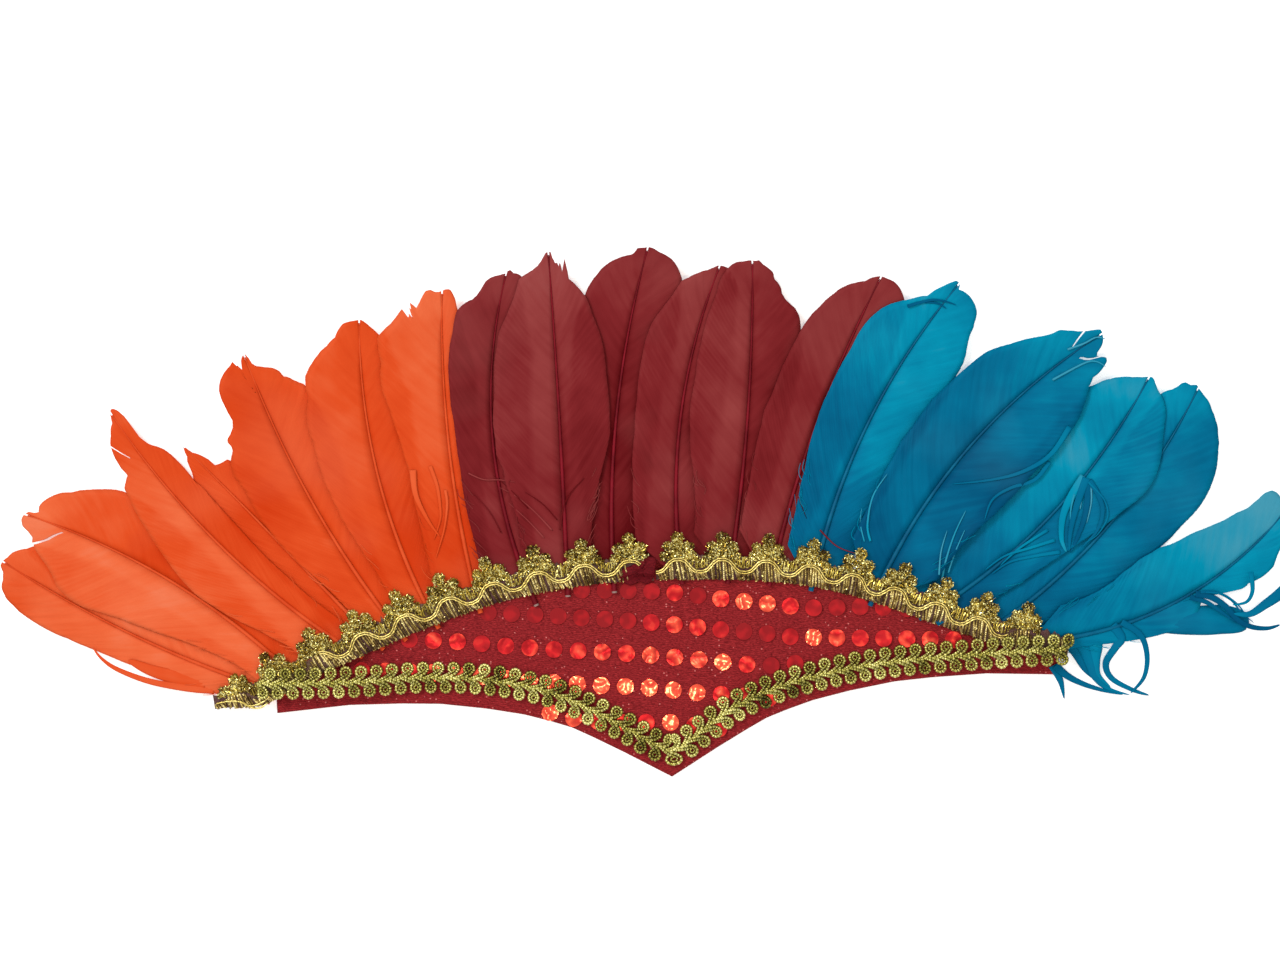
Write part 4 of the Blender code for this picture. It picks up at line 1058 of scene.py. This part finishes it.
def feather(row, number):
    luck = np.random.default_rng(FEATHER_SEED + number)
    colour = row["name"].split("_")[1]
    slot = f"feather_{colour}"
    vanes = Shape()
    vane(vanes, row, "left", luck)
    vane(vanes, row, "right", luck)
    sheet = vanes.piece(row["name"].replace("feather", "vane"), LOOKS[slot], VANE_SHEET)
    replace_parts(sheet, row["name"])
    tail = LONG_TAILS.get(row["name"], QUILL_TAIL) / (row["length"] * PLAN)
    t = np.concatenate([[-tail, -tail * 0.93, -tail * 0.92], np.linspace(-tail * 0.8, 0.0, 4),
                        np.linspace(0.03, 0.99, 40)])
    spine = vane_points(row, t, np.zeros(len(t)))
    quill = Shape()
    cut = np.where((t <= -tail * 0.93) & (row["name"] in LONG_TAILS), 1.0, 0.0)
    tube(quill, spine, quill_radius(t) * np.where(t > 0, 0.96 - 0.45 * t, 0.94), 8, cut)
    quill.piece(row["name"].replace("feather", "quill"), LOOKS[f"quill_{colour}"])


def loose_barbs(colour):
    # Curled strands, split tips and down of one colour
    luck = np.random.default_rng(len(colour) + 60)
    shape = Shape()
    for place, (hue, tone, wide, fine, low, high, points) in enumerate(STRANDS):
        if hue == colour:
            ribbon(shape, points, (wide, fine), (low, high), tone, 0.0007 + 0.00012 * (place % 3))
    for row in FEATHERS:
        if colour in row["name"]:
            down(shape, row, luck, DOWN_COUNTS.get(row["name"], USUAL_DOWN), DOWN_REACH)
    shape.piece(f"loose_barbs_{colour}", LOOKS[f"feather_{colour}"], VANE_SHEET * 0.8)


# Plaque and sequins

def outline_height(points, across):
    return np.interp(np.abs(across), [x * PLAN for x, _ in points], [y * PLAN for _, y in points])


def plaque_cloth():
    # Cloth-covered plate: rounded rim and a slightly uneven front
    half = PLAQUE_UPPER[-1][0] * PLAN
    columns = np.concatenate([[-1.0, -0.9985], np.linspace(-0.995, 0.995, 201), [0.9985, 1.0]]) * half
    low = outline_height(PLAQUE_LOWER, columns)
    high = outline_height(PLAQUE_UPPER, columns)
    share = np.array([0.0, 0.004, 0.012, 0.025, *np.linspace(0.05, 0.95, 19), 0.975, 0.988, 0.996, 1.0])
    height = high - low
    y = low[:, None] + height[:, None] * share[None]
    inward = np.minimum(np.minimum(share[None], 1 - share[None]) * height[:, None],
                        (half - np.abs(columns))[:, None])
    drop = np.clip(1.0 - inward / RIM_ROUND, 0.0, 1.0)
    x = np.broadcast_to(columns[:, None], y.shape)
    uneven = BROAD_WAVE * np.sin(x * 170 + 1.0) * np.sin(y * 260) + FINE_WAVE * np.sin(x * 410 + y * 300)
    top = PLAQUE_THICKNESS - RIM_ROUND * (1 - np.sqrt(1 - drop ** 2)) + uneven * (1 - drop)
    bottom = BACK_RIM_RISE * drop
    rows, count = y.shape
    front, back = np.stack([x, y, top], axis=-1), np.stack([x, y, bottom], axis=-1)
    points = np.concatenate([front, back[:, ::-1]], axis=1)
    last = (rows - 1) * count * 2
    caps = [list(range(count * 2)), list(range(last + count * 2 - 1, last - 1, -1))]
    shape = Shape()
    shape.add(points, [ring_faces(rows, count * 2), caps])
    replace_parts(shape.piece("plaque_cloth", LOOKS["cloth"]), "plaque")


def sequin(shape, spot, shine, luck):
    # One flat disc, creased a little; bright ones lean so that they mirror the small lamp to the camera
    rings, sides = DISC_RINGS, DISC_SIDES
    turn = np.arange(sides) * 2 * math.pi / sides
    reach = np.linspace(0.0, 1.0, rings + 1)[1:] * SEQUIN_DIAMETER / 2
    x = reach[:, None] * np.cos(turn)
    y = reach[:, None] * np.sin(turn)
    middle = (np.array(GLINT_SPOT) + np.array(CAMERA_SPOT)) / 2
    lean = -(middle - spot) / CAMERA_HEIGHT
    away = luck.uniform(0, 2 * math.pi)
    off = luck.uniform(0.0, 0.02) if shine > MIRROR_TONE else 0.07 + 0.06 * luck.random()
    tilt = lean + off * np.array((math.cos(away), math.sin(away)))
    bend = luck.normal(0.0, 1.0, 3)
    z = (tilt[0] * x + tilt[1] * y + DISC_BEND * (bend[0] * x * y + bend[1] * (x * x - y * y) / 2)
         + DISC_RIM_WAVE * bend[2] * np.sin(3 * turn)[None] * (reach / reach[-1])[:, None] ** 2)
    z = z - z[-1].min()
    top = np.stack([x, y, z], axis=-1).reshape(-1, 3)
    base = np.array([spot[0], spot[1], PLAQUE_THICKNESS + DISC_SHEET])
    lift = np.array([0, 0, DISC_SHEET])
    centre = np.array([0, 0, z[0].mean()])
    points = np.concatenate([top + base + lift, [base + centre + lift], top[-sides:] + base, [base + centre]])
    k = np.arange(sides)
    after = (k + 1) % sides
    middle_point = rings * sides
    low = middle_point + 1
    rim = (rings - 1) * sides
    faces = [ring_faces(rings, sides), np.stack([k, after, 0 * k + middle_point], axis=-1),
             np.stack([rim + k, low + k, low + after, rim + after], axis=-1),
             np.stack([low + after, low + k, 0 * k + low + sides], axis=-1)]
    shape.add(points, faces, np.tile((0.0, 0.0, shine), (len(points), 1)))


def sequins():
    luck = np.random.default_rng(SEQUIN_SEED)
    shape = Shape()
    margin = SEQUIN_DIAMETER * DISC_MARGIN
    for count, points, shines in SEQUIN_ROWS:
        line = smooth_line(points, 8)
        run = lengths_along(line)
        spots, _ = place_on(line, run, np.linspace(0.0, run[-1], count))
        for spot, shine in zip(spots, shines):
            low = outline_height(PLAQUE_LOWER, spot[0])
            high = outline_height(PLAQUE_UPPER, spot[0])
            if low + margin < spot[1] < high - margin:
                sequin(shape, spot, shine, luck)
    shape.piece("sequins", LOOKS["sequin"])


# Lace

def lace_bottom(beyond):
    seat = PLAQUE_THICKNESS + 2 * FIT_GAP + QUILL_DIAMETER
    return seat + LACE_RISE * (np.asarray(beyond, float) + LACE_BELOW_CORD)


def sag_of(plan, beyond):
    # How far the lace's lower edge is drawn down to the cloth between the quills that it lies on
    below = ease(CORD_SWING * WAVE_SWELL, LACE_BELOW_CORD * SAG_FULL_SHARE, -np.asarray(beyond, float))
    if not np.any(below > 0):
        return below
    tent = np.zeros(plan.shape[:-1])
    t = np.linspace(*UNDER_LACE, 14)
    for row in FEATHERS:
        _, across, _ = beside(row, plan, t)
        tent = np.maximum(tent, ease(TENT_FOOT, QUILL_DIAMETER / 2 + FIT_GAP, np.abs(across)))
    over_cloth = ease(PLAQUE_WIDTH / 2 - SAG_FADE[0], PLAQUE_WIDTH / 2 - SAG_FADE[1], np.abs(plan[..., 0]))
    return (lace_bottom(beyond) - PLAQUE_THICKNESS - FIT_GAP) * below * (1 - tent) * over_cloth


def on_lace(along, beyond, lift):
    # Positions on the lace from distances along it and across it, raised above its underside
    spots, up = place_on(LACE, LACE_RUN, along)
    share = 1 - (1 - LACE_END_SHARE) * ease(LACE_END_START, LACE_END_FULL, -spots[..., 0])
    beyond = np.asarray(beyond, float) * share
    plan = spots + up * beyond[..., None]
    return raised(plan, lace_bottom(beyond) - sag_of(plan, beyond) + lift)


def wave_at(along, start, pitch):
    # Height of the wave over the lace line, its crests and valleys a little broader than its sides
    turn = (along - start) / pitch * 2 * math.pi
    return -CORD_SWING * WAVE_SWELL * np.cos(turn - 0.2 * np.sin(2 * turn))


def lace_gauze(side, start, stop):
    # The thin ground of the lace, from its lower edge to the valleys between lobes
    along = np.linspace(start, stop, int((stop - start) / GAUZE_PITCH))
    across = np.linspace(0.0, 1.0, GAUZE_COLUMNS)
    luck = np.random.default_rng(GAUZE_SEED)
    top = LACE_ABOVE_CORD * (GAUZE_TOP_SHARE + GAUZE_TOP_STRAY * luck.standard_normal(len(along)))
    low = -LACE_BELOW_CORD * (GAUZE_LOW_SHARE + GAUZE_LOW_STRAY * luck.standard_normal(len(along)))
    near = ease(*GAUZE_JOIN, np.abs(along - along_at(LACE, LACE_RUN, LACE_JOIN)))
    top = GAUZE_JOIN_TOP + (top - GAUZE_JOIN_TOP) * near
    beyond = low[:, None] + (top - low)[:, None] * across[None]
    points = on_lace(np.broadcast_to(along[:, None], beyond.shape), beyond, GAUZE_LIFT)
    shape = Shape()
    shape.add(points, [grid_faces(*beyond.shape)])
    ground = shape.piece(f"lace_gauze_{side}", LOOKS["gauze"], GAUZE_SHEET)
    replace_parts(ground, f"lace_{side}")


def glitter_tones(luck, count):
    return luck.choice([0.08, 0.35, 0.62, 1.0], count, p=[0.24, 0.28, 0.22, 0.26])


def glitter(shape, centres, luck, largest=1.1, dim=1.0):
    # Grains of random size and tone
    count = len(centres)
    sizes = GRAIN * luck.uniform(0.6, largest, count)
    grains(shape, centres, sizes, glitter_tones(luck, count) * dim, luck)


def chenille(shape, u, v, density, luck):
    # A glittering looped cord: a dark core with grains all round it
    core = on_lace(u, v, CORE_LIFT)
    tube(shape, core, CHENILLE * 0.62, 5, 0.12)
    run = lengths_along(core)
    count = int(run[-1] / 0.00030 * density)
    along = luck.uniform(0.0, run[-1], count)
    turn = luck.uniform(-0.6, math.pi + 0.6, count)
    size = CHENILLE * luck.uniform(0.75, 1.15, count)
    centres = np.stack([np.interp(along, run, core[:, k]) for k in range(3)], axis=-1)
    ahead = np.stack([np.interp(along + 0.0002, run, core[:, k]) for k in range(2)], axis=-1) - centres[:, :2]
    ahead /= np.maximum(np.linalg.norm(ahead, axis=1, keepdims=True), TINY)
    centres[:, 0] += ahead[:, 1] * np.cos(turn) * size
    centres[:, 1] -= ahead[:, 0] * np.cos(turn) * size
    centres[:, 2] += np.sin(turn) * size * 0.9
    glitter(shape, centres, luck)


def lobe(shape, middle, pitch, luck):
    # Leaves of glittering cord coiled tight, with grains between them
    for along, height, radius in LOBE_LOOPS:
        for share in (1.0, 0.42):
            turn = np.linspace(0, 2 * math.pi, 14) + luck.uniform(0, 6)
            wobble = 1 + 0.06 * luck.standard_normal(14)
            wobble[-1] = wobble[0]
            size = radius * luck.uniform(0.94, 1.06) * share
            u = middle + (along + luck.normal(0.0, 0.008)) * pitch + size * np.cos(turn) * wobble
            v = (height + luck.normal(0.0, 0.008)) * LACE_ABOVE_CORD + size * np.sin(turn) * wobble
            chenille(shape, u, v, 1.9, luck)
    count = LOBE_GRAINS
    height = luck.uniform(0.16, 0.66, count)
    along = luck.uniform(-1.0, 1.0, count) * (0.40 - 0.42 * (height - 0.16))
    lift = 0.0005 + luck.uniform(0.0, 0.0004, count)
    centres = on_lace(middle + along * pitch, height * LACE_ABOVE_CORD, lift)
    glitter(shape, centres, luck)


def valley(shape, middle, start, pitch, luck):
    # Between two lobes: scattered grains and a few pale bars over the gauze
    count = VALLEY_GRAINS
    along = middle + luck.uniform(-0.34, 0.34, count) * pitch
    beyond = wave_at(along, start, pitch) + 0.0012 + luck.uniform(0.0, 0.0042, count)
    centres = on_lace(along, beyond, 0.0006 + luck.uniform(0.0, 0.0003, count))
    glitter(shape, centres, luck, 1.05, 0.8)
    for at in middle + np.linspace(-0.16, 0.16, 7) * pitch:
        ends = np.array([0.0014, 0.0032, 0.0048 + 0.0006 * luck.standard_normal()])
        beyond = wave_at(at, start, pitch) + ends
        path = on_lace(at + 0.0002 * luck.standard_normal(3), beyond, np.array([0.0007, 0.0008, 0.0006]))
        tube(shape, path, FRINGE_BAR * 0.7, 5, luck.uniform(0.2, 0.7))


def fringe(shape, start, first, stop, pitch, luck):
    # The ribbed lower edge: wound bars side by side from the wavy cord down to the lace's edge
    count = int((stop - first) / FRINGE_PITCH)
    for i in range(count):
        at = first + (i + 0.5 + FRINGE_STRAY * luck.standard_normal()) * FRINGE_PITCH
        top = wave_at(at, start, pitch) - FRINGE_TUCK
        low = -LACE_BELOW_CORD * (0.95 + 0.05 * luck.random()) + FRINGE_BAR
        share = np.linspace(0.0, 1.0, FRINGE_STEPS)
        lean = (FRINGE_LEAN + FRINGE_LEAN_STRAY * luck.standard_normal()) * share
        bow = FRINGE_BOW * np.sin(share * math.pi)
        lift = FRINGE_LIFT + bow + FRINGE_LIFT_STRAY * luck.standard_normal()
        path = on_lace(at + lean, top + (low - top) * share, lift)
        tone = luck.choice([0.1, 0.5, 1.0], p=[0.25, 0.35, 0.4]) + 0.35 * luck.standard_normal(FRINGE_STEPS)
        tube(shape, path, FRINGE_BAR * (1 - FRINGE_TAPER * share), 6, np.clip(tone, 0.0, 1.0))
        spots = path[luck.integers(0, FRINGE_STEPS, FRINGE_GRAINS)]
        spots += luck.normal(0.0, FRINGE_GRAIN_STRAY, (FRINGE_GRAINS, 3))
        spots[:, 2] += FRINGE_BAR * 0.8
        glitter(shape, spots, luck)


def wave_cords(side, start, end, pitch):
    # Two smooth cords side by side in the lace's wave, tucked under the gimp at the plaque's ends
    shape = Shape()
    limit = (GIMP_CLIMB_END + CORD_PAST_CLIMB) / PLAN
    low = max(start, along_at(LACE, LACE_RUN, -limit))
    high = min(end, along_at(LACE, LACE_RUN, limit))
    for offset in (-WAVE_GAP / 2, WAVE_GAP / 2):
        along = np.linspace(low, high, int((high - low) / pitch * 22))
        wave = wave_at(along, start, pitch)
        slope = np.gradient(wave, along)
        size = np.sqrt(1 + slope ** 2)
        path = on_lace(along - offset * slope / size, wave + offset / size,
                       LACE_THICKNESS + CORD_LIFT)
        tube(shape, path, WAVE_CORD / 2, 8, 0.7)
    if side == "left":
        for points in TAIL_CORDS:
            line = smooth_line(points, 8)
            height = lace_bottom(0.0) + LACE_THICKNESS + TAIL_CORD_LIFT
            tube(shape, raised(line, np.full(len(line), height)), WAVE_CORD / 2, 8, 0.7)
    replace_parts(shape.piece(f"wave_cords_{side}", LOOKS["cord"]), f"wave_cord_{side}")


def lace(side):
    start, end, stop, fringe_start, fringe_stop, cord_end = (along_at(LACE, LACE_RUN, x)
                                                             for x in LACE_LENGTHS[side])
    luck = np.random.default_rng(LACE_SEEDS[side])
    count = max(1, round((end - start) / LOBE_PITCH))
    pitch = (end - start) / count
    lace_gauze(side, start, stop)
    shape = Shape()
    for i in range(count):
        lobe(shape, start + (i + 0.5) * pitch, pitch, luck)
        if i:
            valley(shape, start + i * pitch, start, pitch, luck)
    shape.piece(f"lace_lobes_{side}", LOOKS["glitter"], smooth=False)
    shape = Shape()
    fringe(shape, start, fringe_start, fringe_stop, pitch, luck)
    shape.piece(f"lace_fringe_{side}", LOOKS["fringe"])
    wave_cords(side, start, cord_end, pitch)


def join_patch():
    # Dark red scrap of cloth glued over the place where the two lengths of lace meet
    rim = smooth_line(JOIN_PATCH + JOIN_PATCH[:1], 5)[:-1]
    centre = rim.mean(axis=0)
    luck = np.random.default_rng(PATCH_SEED)
    rings = []
    for share in (0.15, 0.45, 0.75, 0.93, 1.0):
        plan = centre + (rim - centre) * share
        distance = distance_beyond(plan)
        bumps = PATCH_BUMP * luck.standard_normal(len(plan)) * (share < 1.0)
        height = lace_bottom(distance) - sag_of(plan, distance)
        height += LACE_THICKNESS * (1.3 - 0.5 * share ** 6) + bumps
        rings.append(raised(plan, height))
    rows = np.array(rings)
    shape = Shape()
    shape.add(rows, [ring_faces(*rows.shape[:2])[:, ::-1], [list(range(len(rim)))]])
    shape.piece("join_patch", LOOKS["plain_cloth"], PATCH_SHEET)


# Gimp braid

def on_gimp(line, run, along, beyond, lift):
    spots, up = place_on(line, run, along)
    plan = spots + up * np.asarray(beyond, float)[..., None]
    low = PLAQUE_THICKNESS + 2 * FIT_GAP
    high = lace_bottom(GIMP_WIDTH * 0.7) + LACE_THICKNESS + FIT_GAP
    bottom = low + (high - low) * ease(GIMP_CLIMB_START, GIMP_CLIMB_END, np.abs(spots[..., 0]))
    return raised(plan, bottom + lift)


def gimp():
    # One cord a loop: it leaves the braided middle, rounds the edge and curls in on itself
    line = smooth_line(GIMP_LINE, 10)
    run = lengths_along(line)
    loops = round(run[-1] / LOOP_PITCH)
    pitch = run[-1] / loops
    luck = np.random.default_rng(GIMP_SEED)
    shape = Shape()
    for i in range(2 * loops):
        sign = 1.0 if i % 2 else -1.0
        middle = (i + 0.5) / 2 * pitch
        lead = np.linspace(0.0, 1.0, LEAD_STEPS)
        arch = LOOP_ARCH * np.sin(lead * math.pi) ** 0.8
        lead_x = middle - LOOP_LEAD + LOOP_LEAD_RUN * lead
        lead_y = sign * (LEAD_ASIDE + LEAD_SPREAD * lead ** 1.7)
        lead_z = LEAD_HEIGHT + arch
        ring = np.linspace(*RING_TURN, RING_STEPS)
        ring_x = middle + LOOP_RADIUS * np.cos(ring)
        ring_y = sign * (LOOP_REACH + LOOP_RADIUS * np.sin(ring))
        curl = np.linspace(*CURL_TURN, CURL_STEPS) * math.pi
        small = np.linspace(*CURL_RADII, CURL_STEPS)
        curl_x = middle + small * np.cos(curl)
        curl_y = sign * (LOOP_REACH + small * np.sin(curl))
        x = np.concatenate([lead_x, ring_x, curl_x])
        y = np.concatenate([lead_y, ring_y, curl_y])
        ring_z = RING_HEIGHT + RING_TILT * np.cos(ring)
        z = np.concatenate([lead_z, ring_z, np.full(CURL_STEPS, CURL_HEIGHT)])
        beat = np.sin(np.arange(len(x)) * BEAD_TURN)
        beads = 1 + BEAD_SWELL * beat
        radius = np.concatenate([np.full(LEAD_STEPS + RING_STEPS, LOOP_CORD),
                                 np.full(CURL_STEPS, LOOP_CORD * CURL_CORD_SHARE)])
        # Painted highlights on the swollen beads and painted shade at the necks between them; the inner curl
        # in painted shade
        tone = LOOP_TONE + LOOP_TONE_STRAY * luck.standard_normal() + BEAD_LIGHT_AND_SHADE * beat
        tone[-CURL_STEPS:] -= CURL_SHADE
        tube(shape, on_gimp(line, run, x, y, z), radius * beads, 7, np.clip(tone, 0.05, 1.0))
        ply_x = middle - PLY_LEAD + PLY_LEAD_RUN * lead
        ply_y = sign * (PLY_ASIDE + PLY_SPREAD * lead ** 1.5)
        ply_z = PLY_HEIGHT + arch
        # Painted highlights and shade along the ply, bead by bead
        tone = np.clip(0.55 + 0.5 * np.sin(np.arange(LEAD_STEPS) * BEAD_TURN + 1.0), 0.0, 1.0)
        tube(shape, on_gimp(line, run, ply_x, ply_y, ply_z), LOOP_CORD * PLY_CORD_SHARE, 6, tone)
    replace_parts(shape.piece("gimp_cords", LOOKS["gimp"]), "gimp_braid")


# Camera, floor and light

def camera():
    data = bpy.data.cameras.new("camera")
    data.sensor_width = SENSOR
    data.lens = SENSOR * CAMERA_HEIGHT / FRAME_WIDTH
    data.clip_start = CLIP_NEAR
    data.clip_end = CLIP_FAR
    made = linked("camera", data)
    made.location = (*CAMERA_SPOT, CAMERA_HEIGHT + CAMERA_LIFT)
    made.rotation_euler = (0.0, 0.0, CAMERA_ROLL)
    bpy.context.scene.camera = made


def floor():
    mesh = bpy.data.meshes.new("floor")
    corners = [(x * FLOOR_HALF, y * FLOOR_HALF, 0) for x, y in ((-1, -1), (1, -1), (1, 1), (-1, 1))]
    mesh.from_pydata(corners, [], [(0, 1, 2, 3)])
    made = linked("floor", mesh)
    made.location.z = -FLOOR_DROP
    mesh.materials.append(Nodes("pale_floor").surface(Base_Color=(0.9, 0.9, 0.9, 1.0), Roughness=0.9,
                                                  Emission_Color=(1.0, 1.0, 1.0, 1.0), Emission_Strength=0.4))


def area_light(name, colour, spot, aim, size, power):
    data = bpy.data.lights.new(name, "AREA")
    data.shape = "DISK"
    data.size = size
    data.energy = power
    data.color = colour
    made = linked(name, data)
    made.location = spot
    way = np.array(aim, float) - np.array(spot, float)
    made.rotation_euler = (math.atan2(math.hypot(way[0], way[1]), -way[2]), 0.0,
                           math.atan2(way[1], way[0]) - math.pi / 2)


def lights():
    # Pale surround, brightest overhead, a soft key and a small warm lamp that the sequins mirror
    world = bpy.data.worlds.new("world")
    world.use_nodes = True
    tree = world.node_tree
    place = tree.nodes.new("ShaderNodeTexCoord")
    parts = tree.nodes.new("ShaderNodeSeparateXYZ")
    level = tree.nodes.new("ShaderNodeMapRange")
    tree.links.new(place.outputs["Generated"], parts.inputs[0])
    tree.links.new(parts.outputs[2], level.inputs["Value"])
    for key, value in (("From Min", 0.1), ("From Max", 0.75), ("To Min", 0.25), ("To Max", 0.95)):
        level.inputs[key].default_value = value
    tree.links.new(level.outputs["Result"], tree.nodes["Background"].inputs["Strength"])
    tree.nodes["Background"].inputs["Color"].default_value = (1.0, 1.0, 1.0, 1.0)
    bpy.context.scene.world = world
    area_light("key", WHITE, **KEY_LAMP)
    area_light("glint", WARM, **GLINT_LAMP)
    bpy.context.scene.view_settings.view_transform = "Standard"


LACE = smooth_line(LACE_LINE, 6)
LACE_RUN = lengths_along(LACE)
LOOKS = {
    "feather_orange": feather_material("orange_vane", 0.16, seen(240, 134, 98), seen(238, 108, 64),
                                       seen(226, 80, 34), seen(210, 60, 16)),
    "feather_red": feather_material("red_vane", 0.30, seen(164, 84, 82), seen(150, 62, 62), seen(128, 36, 40),
                                    seen(98, 12, 18)),
    "feather_blue": feather_material("blue_vane", 0.10, seen(70, 160, 188), seen(0, 150, 186),
                                     seen(0, 114, 155), seen(0, 82, 123)),
    "quill_orange": quill_material("orange_quill", seen(230, 88, 42), seen(216, 72, 28)),
    "quill_red": quill_material("red_quill", seen(136, 20, 36), seen(104, 12, 24)),
    "quill_blue": quill_material("blue_quill", seen(0, 108, 146), seen(0, 84, 122)),
    "cloth": cloth_material("red_sequin_knit", 0.75, seen(104, 10, 18), seen(186, 50, 54)),
    "plain_cloth": cloth_material("plain_red_knit", 0.1, seen(84, 8, 18), seen(128, 22, 32)),
    "sequin": sequin_material(),
    "gauze": gauze_material(),
    "glitter": gold_material("lace_glitter", srgb(255, 248, 176), srgb(188, 162, 62), srgb(72, 52, 16), 0.26,
                             0.0),
    "fringe": gold_material("lace_fringe", srgb(250, 232, 160), srgb(180, 156, 84), srgb(88, 66, 36), 0.36,
                            9000.0),
    "cord": gold_material("wave_cord_gold", srgb(250, 232, 150), srgb(206, 184, 96), srgb(112, 88, 40), 0.32,
                          3000.0, 0.85),
    "gimp": gold_material("gimp_gold", srgb(246, 240, 160), srgb(168, 160, 68), srgb(62, 58, 18), 0.34,
                          8500.0),
}
camera()
floor()
lights()
plaque_cloth()
sequins()
for lace_side in LACE_LENGTHS:
    lace(lace_side)
join_patch()
gimp()
for feather_number, feather_row in enumerate(FEATHERS):
    feather(feather_row, feather_number)
for barb_colour in ("orange", "red", "blue"):
    loose_barbs(barb_colour)
